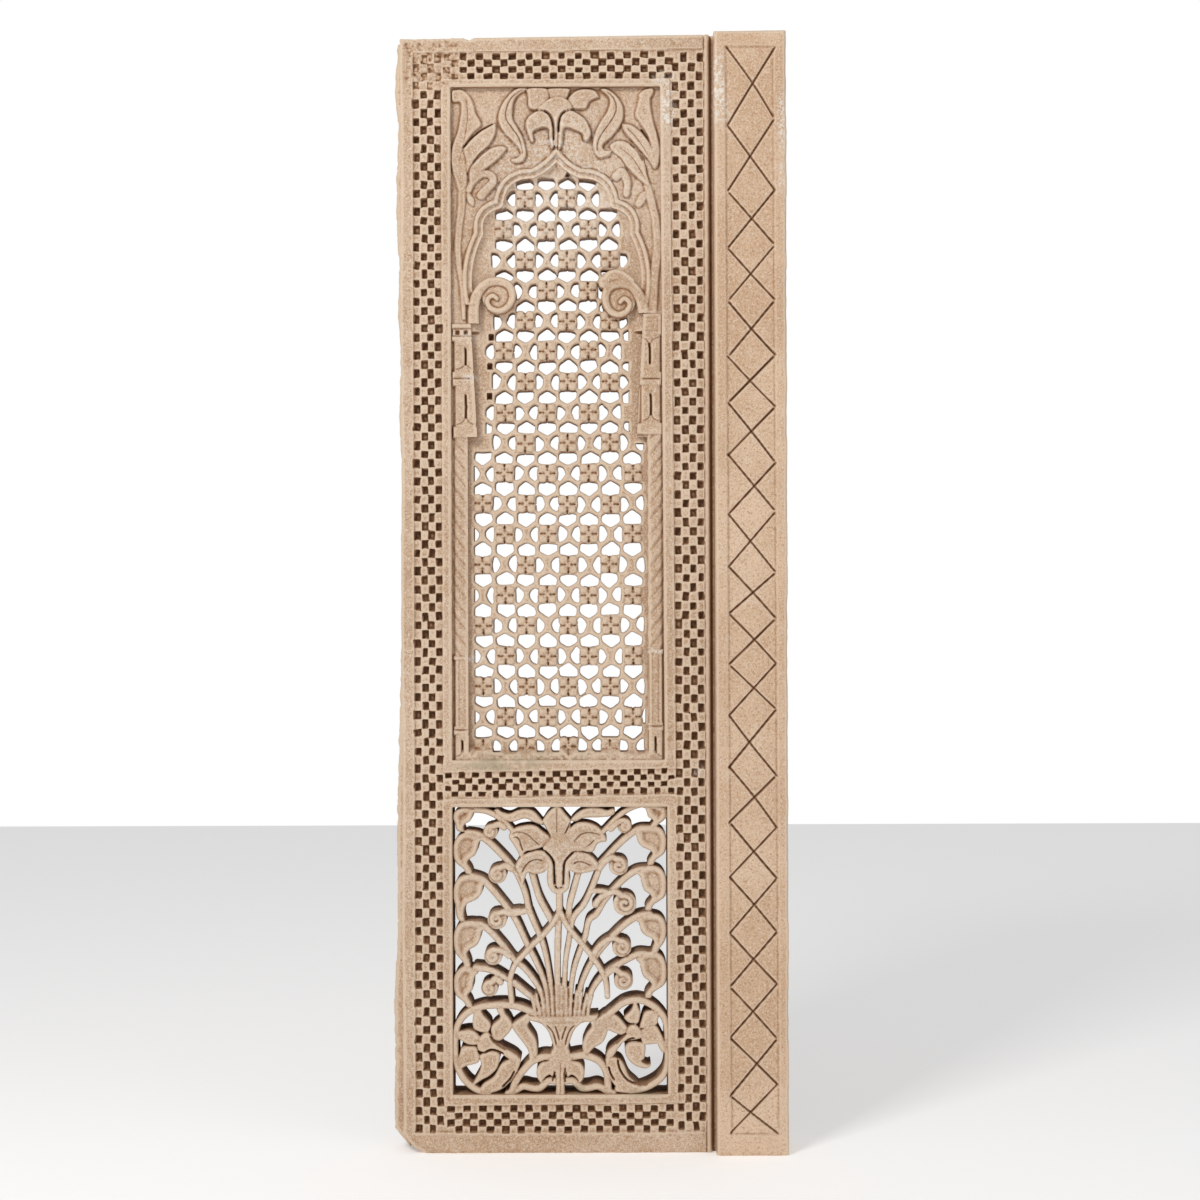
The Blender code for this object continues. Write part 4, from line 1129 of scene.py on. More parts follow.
def draw_flower(sheet, random, centre):
    """Four domed petals with slits between them and a small boss."""
    across, up = centre
    for way_x, way_z in ((-1, -1), (1, -1), (1, 1), (-1, 1)):
        size = PETAL_SIZE + random.normal(0, 0.2)
        petal = (across + way_x * PETAL_ASIDE, up + way_z * PETAL_ABOVE)
        outline = box(petal[0] - size, petal[0] + size, petal[1] - size, petal[1] + size)
        view = sheet.around(outline, 1.5)
        aside, above = np.abs(sheet.x[view] - petal[0]), np.abs(sheet.z[view] - petal[1])
        inside = size - (aside ** PETAL_SQUARENESS + above ** PETAL_SQUARENESS) ** (1 / PETAL_SQUARENESS)
        sheet.lay(view, inside, SCREEN_FRONT - 3.0 + falling(inside, size, 3.6))
    for run, rise in ((1, 0), (-1, 0), (0, 1), (0, -1)):
        spine = [(across + run * 6.6, up + rise * 6.6), (across + run * 11.6, up + rise * 12.0)]
        sheet.slit(spine, 2.0, 7.0 if rise else 3.5, smooth=False)
    for angle in (45, 135):
        run, rise = cos(radians(angle)) * BOSS, sin(radians(angle)) * BOSS
        line = [(across - run, up - rise), (across + run, up + rise)]
        sheet.bar(line, BOSS, SCREEN_FRONT - 2.6, smooth=False)


def draw_lattice(sheet):
    """The pierced screen of flowers joined by curved bars."""
    random = np.random.default_rng(61)
    sheet.start(SCREEN_FRONT)
    x, z = sheet.x, sheet.z
    arch = measure(screen_opening(), x, z, closed=True)[0]
    sheet.depth -= 7.5 * swell(COVE - arch, 0.0, COVE) * (z > SHOULDER - 60.0)
    field = pierced_field(x, z)
    flowers = []
    pits = []
    for row in range(-1, ROWS):
        for column, place in enumerate(COLUMN_PLACES):
            flower = (column + row) % 2 == 0
            across = UPPER_AXIS + place + random.normal(0, 0.5)
            up = TOP_ROW - ROW * row + random.normal(0, 0.6)
            if flower:
                flowers.append((across, up))
            if row < ROWS - 1:
                opening = shifted(house(random, flower), across, up - ROW / 2)
                if column == 0 and BLIND < up - ROW / 2 < SHOULDER:
                    pits.append((across + BLIND_ASIDE, up - ROW / 2))
                else:
                    sheet.cut(opening, field=field)
            if row >= 0:
                opening = shifted(drop(random, flower), across + PITCH / 2, up)
                sheet.cut(opening, smooth=True, field=field)
                if column == 0:
                    opening = shifted(drop(random, not flower), across - PITCH / 2, up)
                    sheet.cut(opening, smooth=True, field=field)
    sheet.depth += falling(np.maximum(sheet.stone, 0.0), 2.8, 2.6)
    for across, up in flowers:
        here = sheet.around([(across, up)], 0.0)
        if field[here].max(initial=-FAR) > 0.0:
            draw_flower(sheet, random, (across, up))
    blind = [box(across - BLIND_WIDE, across + BLIND_WIDE, up - BLIND_TALL, up + BLIND_TALL)
             for across, up in pits]
    for notch in blind + [shifted([(9.5, 1223.5), (19.0, 1223.5), (14.0, 1231.0)], UPPER_AXIS)]:
        view = sheet.around(notch)
        sheet.sink(view, measure(notch, x[view], z[view], closed=True)[0], 9.0, 1.2)
    crumbled = swell(CRUMBLED_TOP + 4.0 * uneven(x, 0 * z, 13.0, 62) - z, 0.0, CRUMBLED_FALL)
    rubble = 3.0 + 1.6 * uneven(x, z, 8.0, 63) + 1.0 * uneven(x, z, 3.2, 64)
    sheet.depth = sheet.depth * (1 - crumbled) + rubble * crumbled
    sheet.wear(0.22, 0.18, 65)


# Middle line of each stalk, above the sill and out from the axis, from its leaf or spiral down
LEFT_STALKS = (
    ((-120.6, 356), (-106, 356.3), (-90.9, 354), (-73.6, 344.4), (-58.3, 329)),
    ((-115.6, 327), (-101.4, 324.3), (-87, 313.8), (-72.6, 299.5), (-63, 289), (-53.5, 275.5), (-44, 252.5),
     (-39, 231), (-31.5, 211.8), (-23.9, 194.5), (-17, 168.8), (-10.6, 125.6), (-9.5, 98)),
    ((-111, 273), (-96.5, 268), (-85, 256.3), (-72.6, 241.3), (-61, 226.3), (-52.5, 211.8), (-43, 190.8),
     (-29.6, 163.8), (-20, 140), (-16.3, 122), (-14.5, 98)),
    ((-111, 213), (-98.5, 211.8), (-87, 203), (-77.4, 192.5), (-67.9, 181.3), (-58.3, 168.8), (-44, 156.3),
     (-31.5, 140), (-23.9, 125.6), (-17, 98)),
    ((-106, 158), (-91.9, 156.3), (-77.4, 150.5), (-61, 140)),
    ((-58, 139), (-44, 127.5), (-31.5, 116.3), (-22, 98)))
RIGHT_STALKS = (
    ((131, 348), (129, 360), (117.5, 364.5), (103, 362.5), (88.8, 357.8), (74.4, 348.3), (54, 328)),
    ((112.6, 332), (98.4, 331), (84, 321.5), (69.6, 308), (58, 295.6), (50.5, 287), (46.6, 274.6),
     (39, 255.5), (29.4, 236.3), (16, 218.8), (10.4, 188), (6.5, 163.8), (4.6, 125.6), (4, 98)),
    ((109.8, 281), (96.4, 279.4), (84, 271.8), (69.6, 258.4), (55.3, 241.3), (45.6, 225), (36, 216.5),
     (31.4, 196.5), (24.6, 178.3), (16.9, 154.4), (13, 125.6), (11, 98)),
    ((112.6, 224.3), (98.4, 222.3), (84, 213.8), (69.6, 201.3), (58, 188.8), (48.6, 177.5), (39, 163.8),
     (31.4, 149.6), (24.6, 130.5), (19, 98)),
    ((112.6, 173.4), (98.4, 174.5), (84, 167.8), (69.6, 160), (58, 152.5), (46.6, 140), (39, 127.5),
     (26, 98)))

# Top, foot, inner edge and tail of each hooked leaf, above the sill and out from the axis
LEFT_LEAVES = ((360, 329, 108, 123), (327.5, 276, 101.5, 114), (275, 217, 96.5, 123), (217, 160, 98.5, 116),
               (160.5, 109, 107, 114))
RIGHT_LEAVES = ((364, 334, 107.5, 117), (335.5, 287, 96, 113.5), (285.5, 230, 100.5, 110.5),
                (225.5, 176.5, 99, 118), (177.5, 120, 99.5, 110))

# Centre and radius of each spiral, and the way its stalk comes to it
LEFT_SPIRALS = (
    ((-87, 328.5), 10.3, ((-70, 334), (-76, 338))),
    ((-78.4, 275), 12.6, ((-61, 282), (-68, 286))),
    ((-78.9, 218.4), 13.2, ((-44, 229), (-61, 226), (-70, 228))),
    ((-84.1, 172.6), 12.4, ((-64, 173), (-72, 179))),
    ((-88.6, 132.5), 11.6, ((-75, 140), (-81, 144.5))))
RIGHT_SPIRALS = (
    ((81.2, 335.3), 10.3, ((64, 332), (72, 339.5))),
    ((73.5, 285.5), 13.2, ((50, 283), (57, 291.5), (65, 296))),
    ((81.2, 237.7), 15.6, ((44, 237), (51, 245.5), (62, 251.5), (71, 252.5))),
    ((77.3, 183), 13.0, ((40, 170), (45.5, 180.5), (55, 190), (66, 195))),
    ((79.3, 141.5), 13.0, ((58, 150), (68, 156))))


def hooked_leaf(top, foot, inner, tail):
    """Body and folded lip of the leaf that ends a stalk, drawn on the right-hand side."""
    def at(across, share):
        return across, top - (top - foot) * share

    neck = 0.4 * tail + 0.6 * LEAF_NECK
    body = [at(inner - 4, 0.15), at(inner + 9, 0.0), at(124, 0.03), at(132, 0.2), at(134, 0.45),
            at(131, 0.7), at(tail + 7, 0.88), at(tail + 3.5, 1.0), at(tail - 3.5, 1.0),
            at(tail - 2.5, 0.88), at(neck, 0.72), at(neck - 4, 0.62),
            at((inner + neck) / 2 - 2, 0.55), at(inner + 2, 0.42), at(inner, 0.25)]
    lip = [at(inner + 3, 0.2), at(inner + 5, 0.39), at((inner + neck) / 2 + 1, 0.51), at(neck, 0.6),
           at(neck + 3, 0.72), at(tail + 1.5, 0.9)]
    return body, lip


def spiral(centre, radius, width, side):
    """The line along which a stalk winds in, from its outside to its eye."""
    outer, inner = radius - width / 2, width * 0.2
    line = []
    for step in range(SPIRAL_STEPS):
        share = step / (SPIRAL_STEPS - 1)
        angle = radians(90 + side * 20 - side * SPIRAL_TURN * share)
        reach = outer + (inner - outer) * share ** 0.9
        line.append((centre[0] + reach * cos(angle), centre[1] + reach * sin(angle)))
    return line


def in_window(points):
    """Move a drawing of the lower panel from its axis and sill to its place on the stone."""
    return shifted(points, LOWER_AXIS, LOWER_SILL)


def draw_stalks(sheet):
    """Stalks, hooked leaves and spirals."""
    for spine in LEFT_STALKS + RIGHT_STALKS:
        sheet.bar(in_window(spine), 8.6, 5.0, 6.4, drop=3.4, flat=0.1)
    for side, leaves in ((-1, LEFT_LEAVES), (1, RIGHT_LEAVES)):
        turn = mirrored if side < 0 else list
        for leaf in leaves:
            body, lip = hooked_leaf(*leaf)
            sheet.form(in_window(turn(body)), 3.6, 4.6, 3.6, belly=3.4, rim=5.0)
            sheet.bar(in_window(turn(lip)), 7.0, 3.4, 4.6, drop=3.2)
    for side, spirals in ((-1, LEFT_SPIRALS), (1, RIGHT_SPIRALS)):
        for centre, radius, arm in spirals:
            width = radius * 0.66
            sheet.form(in_window(circle(centre, radius - 1.0, 24)), 6.6, 2.0, 1.5, smooth=False)
            turns = spiral(centre, radius, width, side)
            path = curve(list(arm) + turns[:2])[:-4] + turns[1:]
            sheet.bar(in_window(path), 8.0, 2.6, 6.0, drop=3.0, smooth=False)


def draw_gathering(sheet):
    """The spear, the pointed band and the cross-bars, in front of the stalks."""
    sheet.bar(in_window([(-1, 228), (-3, 195), (-3.5, 150), (-3, 98)]), 8.6, 4.2, 7.0)
    left = [(-61, 116), (-63, 140), (-61, 151.5), (-55.4, 164), (-46, 174.5), (-34.4, 187), (-22, 198.4),
            (-10.6, 211.8), (0, 228)]
    right = [(59, 122), (58, 135.3), (55.3, 146.8), (49.4, 158), (41, 170.6), (31.4, 183), (19.9, 196.5),
             (9.4, 210), (0, 228)]
    for band in (left, right):
        sheet.bar(in_window(band), 7.0, 2.6, drop=3.2)
    sheet.bar(in_window([(-63, 228), (-50, 229.5), (-38, 228)]), 6.4, 4.6)
    sheet.bar(in_window([(40, 254), (50, 254), (60, 252)]), 6.4, 4.6)
    for index in range(STRAWS):
        foot = -STRAW_SPREAD + 2 * STRAW_SPREAD * index / (STRAWS - 1)
        top = 134.0 - 0.35 * abs(foot)
        straw = [(foot * 0.95 + 1.5, 94.0), (foot + 1.5, 108.0), (foot * 1.12 + 1.5, top)]
        sheet.bar(in_window(straw), 5.4, 3.6, 4.2, drop=3.6)


def draw_top_lily(sheet):
    """The large lily under the upper rail, with a long leaf each side."""
    bud = [(-22, 342), (-22, 342), (-16, 351.5), (-7.5, 360), (-3, 364), (5, 353.5), (14, 343), (14, 343),
           (9, 322), (-9, 319)]
    leaves = (
        [(-82, 355), (-78, 358), (-72, 353.5), (-63, 351.5), (-53.5, 355.5), (-44, 358), (-34, 355.5),
         (-27, 349), (-19, 338), (-23, 337), (-34, 341), (-44, 345), (-58, 341), (-66, 342), (-73, 346)],
        [(14, 344), (25, 354.5), (39, 360), (51.5, 358), (59, 355.5), (67, 358), (69, 351.5), (63, 347.5),
         (53, 346.5), (46, 346), (30, 345.5), (20, 341)])
    petals = (
        [(-64, 322), (-61, 329), (-53.5, 334.5), (-39, 337), (-29.5, 335.5), (-23, 330.5), (-11.5, 321),
         (-15, 315), (-22, 309.5), (-34, 305.5), (-43, 303.5), (-47, 298), (-50, 298), (-54.5, 306.5),
         (-59, 314)],
        [(6.5, 325), (15, 335), (23, 340), (34.5, 340), (46.5, 335.5), (53.5, 328.5), (58, 321), (58, 316),
         (50.5, 315), (46, 311.5), (41, 303), (27.5, 304), (18, 305)])
    curls = (
        [(-55.5, 287.5), (-48.5, 298), (-36.5, 303.5), (-25, 305.5), (-16, 302), (-10.5, 294), (-7.5, 285.5),
         (-6.5, 263), (-6, 254), (-12, 256), (-15.5, 263), (-16.5, 273), (-15.5, 281), (-20, 278), (-26, 276),
         (-33, 276), (-40.5, 277.5), (-44, 269), (-46.5, 261), (-50.5, 272), (-55, 281)],
        [(6.5, 294), (14, 302), (25, 303.5), (37, 300), (46, 292), (49, 284.5), (44, 280), (29.5, 276.5),
         (18, 277), (13.5, 280), (11.5, 277), (12.5, 265), (10, 256), (4, 254), (3, 270)])
    cup = [(-21, 309), (-11.5, 321), (-4, 324.5), (5.5, 324), (12.5, 317), (20, 306.5), (15, 302), (8.5, 294),
           (5, 286), (4, 264), (0, 259), (-5, 262), (-6, 285), (-9, 295), (-16, 303)]
    sheet.form(in_window(bud), 3.0, 3.0, 2.6, crown=0.8)
    for leaf in leaves:
        sheet.form(in_window(leaf), 4.2, 4.4, 3.4)
    for petal in petals:
        sheet.form(in_window(petal), 2.8, 4.0, 3.2, crown=0.4)
    for curl in curls:
        sheet.form(in_window(curl), 2.2, 4.0, 3.4, crown=0.4)
    sheet.form(in_window(cup), 1.6, 3.6, 2.6, crown=0.8)
    collar = [(-11, 262), (-8, 256), (-1.5, 253.5), (5, 256), (8, 262)]
    sheet.bar(in_window(collar), 7.0, 3.0)
    sheet.bar(in_window([(-1, 254), (-1, 240), (-1, 222)]), 8.4, 4.4)
    sheet.bar(in_window([(-36, 280), (-27, 248), (-16, 226), (-9, 214)]), 8.0, 6.0)
    sheet.bar(in_window([(24, 280), (19, 262), (12, 236), (10, 214)]), 8.0, 6.0)
    creases = (([(-61, 325.5), (-52.5, 328.5), (-41, 325.5), (-31.5, 317), (-24, 310.5)], 2.6, 2.2),
               ([(-58, 321), (-54, 322), (-50.5, 318), (-48.5, 311), (-45.5, 303.5)], 2.6, 2.8),
               ([(-48, 277), (-44, 284.5), (-38, 291), (-29.5, 294), (-20, 292)], 2.8, 2.6),
               ([(17, 315), (25, 324), (34.5, 327.5), (44, 326.5), (51.5, 324)], 2.6, 2.2),
               ([(33, 308.5), (38, 313), (44, 319)], 2.6, 2.2),
               ([(16, 287.5), (22, 291), (30.5, 290), (40, 285.5)], 2.8, 2.6),
               ([(-3.7, 360), (-3.7, 342), (-3.7, 327)], 2.2, 1.8),
               ([(-21.5, 339), (-16.5, 330), (-11.8, 322.5)], 2.4, 7.0),
               ([(13.5, 341), (9, 331), (6, 325.5)], 2.2, 4.0),
               ([(-19, 305), (-10.4, 296), (-7.5, 287), (-6.6, 262)], 2.5, 10.0),
               ([(17.5, 303.5), (8.8, 295), (5.2, 287), (4.2, 262)], 2.5, 10.0))
    for spine, width, deep in creases:
        sheet.slit(in_window(spine), width, deep)


def draw_vase(sheet):
    """Shallow vase that the stalks stand in, with a curling leaf on each side."""
    left_leaf = [(-40, 101), (-43, 100), (-58, 90), (-60.5, 84), (-56.5, 77), (-49, 67), (-41, 55.5),
                 (-39.5, 46), (-38.5, 35), (-30.5, 45), (-28.5, 54), (-30.5, 68), (-36.5, 78), (-41, 86),
                 (-36, 95)]
    right_leaf = [(47.5, 96), (56, 101), (58.5, 90), (59.5, 80.5), (53.5, 65), (42, 57.5), (33.5, 49),
                  (28.5, 52.5), (27.5, 63), (32.5, 75.5), (39, 85), (36, 93)]
    cup = [(-31, 93), (-23, 87), (-16, 79), (-12, 69), (-9, 58), (-12, 52), (-9, 43), (9, 43), (12, 52),
           (10, 58), (13, 69), (17, 79), (24, 87), (32, 93)]
    rim = [(-41, 98.5), (-41, 98.5), (-18, 97.5), (8, 97.5), (48, 99.5), (48, 99.5), (42, 91.5), (20, 90),
           (-16, 89.5), (-35, 91.5)]
    for leaf in (left_leaf, right_leaf):
        sheet.form(in_window(leaf), 3.8, 4.4, 3.4)
    sheet.form(in_window(cup), 3.8, 4.0, 3.2)
    sheet.form(in_window(rim), 2.2, 3.0, 2.8)
    for spine in ([(-6.6, 86), (-3.5, 76), (-1, 66.5)], [(8, 86), (4, 76), (1.5, 67)],
                  [(-18, 87), (-11, 80), (-7, 70), (-5, 60)], [(19, 87), (12, 80), (8, 70), (6, 60)]):
        sheet.slit(in_window(spine), 2.2, 3.4)


# Petals, slits and ring of the roundel in each lower corner
LEFT_ROUNDEL = (
    [(-91, 0), (-106, 6), (-120.5, 18.5), (-130, 37.5), (-132.5, 60), (-130, 83.5), (-119.5, 99.5),
     (-104, 108), (-87, 111), (-68, 111.5), (-48.5, 108), (-31.5, 100.5)],
    ([(-133, 76), (-122, 80), (-112, 80.5), (-104, 76), (-100, 69), (-104, 62.5), (-114, 62), (-124, 67)],
     [(-109, 99.5), (-110, 90), (-108, 81.5), (-98.5, 77.5), (-91, 77.5), (-87, 85.5), (-89, 91),
      (-96.5, 99.5), (-100.5, 107), (-107, 107.5)],
     [(-80, 106), (-75.5, 96), (-85, 87), (-87, 78.5), (-83, 69), (-75.5, 67), (-68, 73), (-62, 80.5),
      (-60, 86), (-63, 94), (-69, 101.5), (-72, 108)],
     [(-122.5, 59.5), (-106, 59.5), (-103.5, 52.5), (-101.5, 48), (-103.5, 39.5), (-117.5, 35.5),
      (-125.5, 32.5), (-129, 42), (-126, 52)],
     [(-101.5, 48), (-93.5, 52.5), (-85, 54.5), (-77.5, 52), (-75.5, 46), (-79.5, 32.5), (-89, 23),
      (-98.5, 18), (-106, 13), (-110, 13), (-102.5, 27), (-99.5, 37.5)]),
    [(-104, 66), (-99, 74), (-92, 78), (-86, 73), (-80, 65), (-70, 58), (-57, 51), (-52, 45), (-60, 42),
     (-70, 48), (-79, 54), (-87, 56), (-95, 53), (-103, 56)],
    [(-50, 45), (-58, 22), (-76, 5), (-100, 0), (-98, 12), (-83, 23), (-72, 40)],
    ([(-88, 74), (-83, 66), (-68, 56)], [(-95, 52.5), (-87, 56), (-78.5, 54.5), (-70.5, 50.5)],
     [(-57.5, 30), (-63, 19.5), (-73.5, 9)]))
RIGHT_ROUNDEL = (
    [(72, 6), (91.5, 4), (109, 8.5), (125, 19), (133.5, 34.5), (134.5, 65), (132, 90), (123.5, 103.5),
     (111, 113), (96.5, 117.5), (80, 114), (66, 104), (58, 97)],
    ([(57, 97), (67, 99.5), (74.5, 95), (82, 86), (84, 82.5), (82, 75.5), (74.5, 74), (63, 78.5), (57, 82)],
     [(80, 96.5), (87, 103.5), (90, 108), (93.5, 118), (97.5, 109), (100.5, 101.5), (99.5, 95), (96.5, 88),
      (86, 89), (81, 93)],
     [(101.5, 92), (105, 101.5), (112.5, 104.5), (123, 102), (122.5, 94), (119.5, 86), (102, 81.5),
      (99.5, 85.5)],
     [(102, 80.5), (118.5, 85.5), (126, 75.5), (130, 67), (133, 61.5), (131, 52.5), (127, 52.5),
      (122.5, 59.5), (120.5, 62.5), (107, 61.5), (101.5, 66)],
     [(81, 59.5), (87, 65), (97.5, 65), (106, 61.5), (106, 50), (105, 44), (101.5, 40.5), (109, 36.5),
      (113.5, 37.5), (112.5, 34.5), (107, 31.5), (97.5, 33.5), (89, 38.5), (82, 48)]),
    [(104, 72), (100, 81), (93, 87), (85, 84), (80, 74), (70, 64), (60, 56), (57, 46), (65, 46), (74, 59),
     (84, 66), (94, 68)],
    [(57, 46), (61, 22), (73, 6), (92, 4), (98, 10), (86, 22), (76, 42)],
    ([(83, 76.5), (77, 71), (69.5, 63)], [(93.5, 70.5), (85, 68), (74.5, 60)],
     [(60, 35.5), (63, 25), (68, 17)],
     [(71.5, 44), (74.5, 30.5), (84, 17.5), (96.5, 12.5), (110, 12.5)]))


def draw_roundel(sheet, roundel):
    """The ring, lily and crescent in one lower corner."""
    ring, petals, cap, crescent, slits = roundel
    sheet.bar(in_window(ring), 8.6, 3.2, drop=3.6)
    for petal in petals:
        sheet.form(in_window(petal), 3.2, 4.4, 3.4)
    sheet.form(in_window(crescent), 3.0, 4.6, 3.4)
    sheet.form(in_window(cap), 1.8, 4.6, 3.4, crown=0.5)
    for spine in slits:
        sheet.slit(in_window(spine), 2.6, 8.0)


def draw_foot(sheet):
    """The upside-down lily at the foot, with branches to both roundels."""
    body = [(-15, 46), (-15, 46), (0, 48), (15, 46), (15, 46), (12, 34), (6, 24), (5, 8), (5, -4), (-6, -4),
            (-5.5, 8), (-6.5, 24), (-13, 34)]
    for turn in (list, mirrored):
        branch = [(0, 14), (-15, 16), (-26, 7), (-36, 7), (-47, 9), (-58, 3), (-66, 0)]
        sheet.bar(in_window(turn(branch)), 8.6, 5.0)
        curl = [(-8, 42), (-18, 41), (-25, 38.5), (-30, 30), (-29, 20), (-24, 14), (-20, 20), (-14, 24),
                (-8, 22)]
        sheet.form(in_window(turn(curl)), 3.8, 3.8, 3.0)
    sheet.bar(in_window([(-8, 45), (-22, 46), (-36, 40), (-46, 30), (-56, 16), (-62, -2)]), 9.0, 4.4)
    sheet.bar(in_window([(10, 45), (26, 48), (40, 45), (51, 38), (58, 24), (60, -4)]), 9.0, 4.4)
    sheet.form(in_window(body), 2.8, 4.0, 3.2)
    for spine in ([(-6.6, 29), (-8.5, 22), (-10.5, 15)], [(6, 34), (5, 24), (6, 14)]):
        sheet.slit(in_window(spine), 2.2, 5.0)
    sheet.slit(in_window([(0, 40), (0, 20), (0, 2)]), 2.2, 1.4)


def draw_fretwork(sheet):
    """The pierced panel: stalks that rise from a vase and curl towards the frame."""
    sheet.start()
    draw_stalks(sheet)
    draw_roundel(sheet, LEFT_ROUNDEL)
    draw_roundel(sheet, RIGHT_ROUNDEL)
    draw_foot(sheet)
    draw_gathering(sheet)
    draw_vase(sheet)
    draw_top_lily(sheet)
    rails = np.minimum(np.minimum(sheet.x - LOWER_LEFT, LOWER_RIGHT - sheet.x),
                       np.minimum(sheet.z - LOWER_SILL, LOWER_TOP - sheet.z))
    sheet.lay(WHOLE, -rails - 0.6, 8.0 + 0 * rails)
    sheet.wear(0.28, 0.25, 71)


def mixed(tree, share, first, second):
    """Blend two colours, each a socket or plain numbers, by a share from a socket."""
    made = tree.nodes.new("ShaderNodeMix")
    made.data_type = "RGBA"
    tree.links.new(share, made.inputs[0])
    for index, value in ((6, first), (7, second)):
        if isinstance(value, bpy.types.NodeSocket):
            tree.links.new(value, made.inputs[index])
        else:
            made.inputs[index].default_value = tuple(value)
    return made.outputs[2]


def ramped(tree, source, low, high):
    """Stretch a value so that it runs from 0 at low to 1 at high, smoothly."""
    made = tree.nodes.new("ShaderNodeMapRange")
    made.interpolation_type = "SMOOTHSTEP"
    tree.links.new(source, made.inputs["Value"])
    made.inputs["From Min"].default_value = low
    made.inputs["From Max"].default_value = high
    return made.outputs["Result"]


def product(tree, *sources):
    """Multiply values."""
    result = sources[0]
    for source in sources[1:]:
        made = tree.nodes.new("ShaderNodeMath")
        made.operation = "MULTIPLY"
        tree.links.new(result, made.inputs[0])
        if isinstance(source, bpy.types.NodeSocket):
            tree.links.new(source, made.inputs[1])
        else:
            made.inputs[1].default_value = source
        result = made.outputs[0]
    return result


def noise(tree, place, scale, detail=2.0, rough=0.5):
    """Cloudy variation of one size in the stone."""
    made = tree.nodes.new("ShaderNodeTexNoise")
    made.inputs["Scale"].default_value = scale
    made.inputs["Detail"].default_value = detail
    made.inputs["Roughness"].default_value = rough
    tree.links.new(place, made.inputs["Vector"])
    return made.outputs["Fac"]


def spot(tree, place, centre, reach):
    """1 at a place on the stone, fading to 0 at its reach along X and Z."""
    across, up = reach
    moved = tree.nodes.new("ShaderNodeMapping")
    moved.inputs["Location"].default_value = (-centre[0] / across, 0.0, -centre[1] / up)
    moved.inputs["Scale"].default_value = (1.0 / across, 0.0, 1.0 / up)
    tree.links.new(place, moved.inputs["Vector"])
    away = tree.nodes.new("ShaderNodeVectorMath")
    away.operation = "LENGTH"
    tree.links.new(moved.outputs[0], away.inputs[0])
    return ramped(tree, away.outputs["Value"], 1.0, 0.3)


def attribute(tree, name):
    """A value that the sheets keep at their points."""
    made = tree.nodes.new("ShaderNodeAttribute")
    made.attribute_name = name
    return made.outputs["Fac"]


def steepness(tree):
    """1 on cut walls, 0 on faces that look to the front or the back."""
    parted = tree.nodes.new("ShaderNodeSeparateXYZ")
    tree.links.new(tree.nodes.new("ShaderNodeNewGeometry").outputs["True Normal"], parted.inputs[0])
    size = tree.nodes.new("ShaderNodeMath")
    size.operation = "ABSOLUTE"
    tree.links.new(parted.outputs["Y"], size.inputs[0])
    return ramped(tree, size.outputs[0], 0.7, 0.3)


def bumped(tree, height, strength, distance, normal=None):
    """Roughness that shows in the light."""
    made = tree.nodes.new("ShaderNodeBump")
    made.inputs["Strength"].default_value = strength
    made.inputs["Distance"].default_value = distance
    tree.links.new(height, made.inputs["Height"])
    if normal:
        tree.links.new(normal, made.inputs["Normal"])
    return made.outputs["Normal"]


def tinted(colour, factors):
    """A darker, paler or warmer version of a colour."""
    return [min(1.0, channel * factor) for channel, factor in zip(colour, factors)] + [1.0]


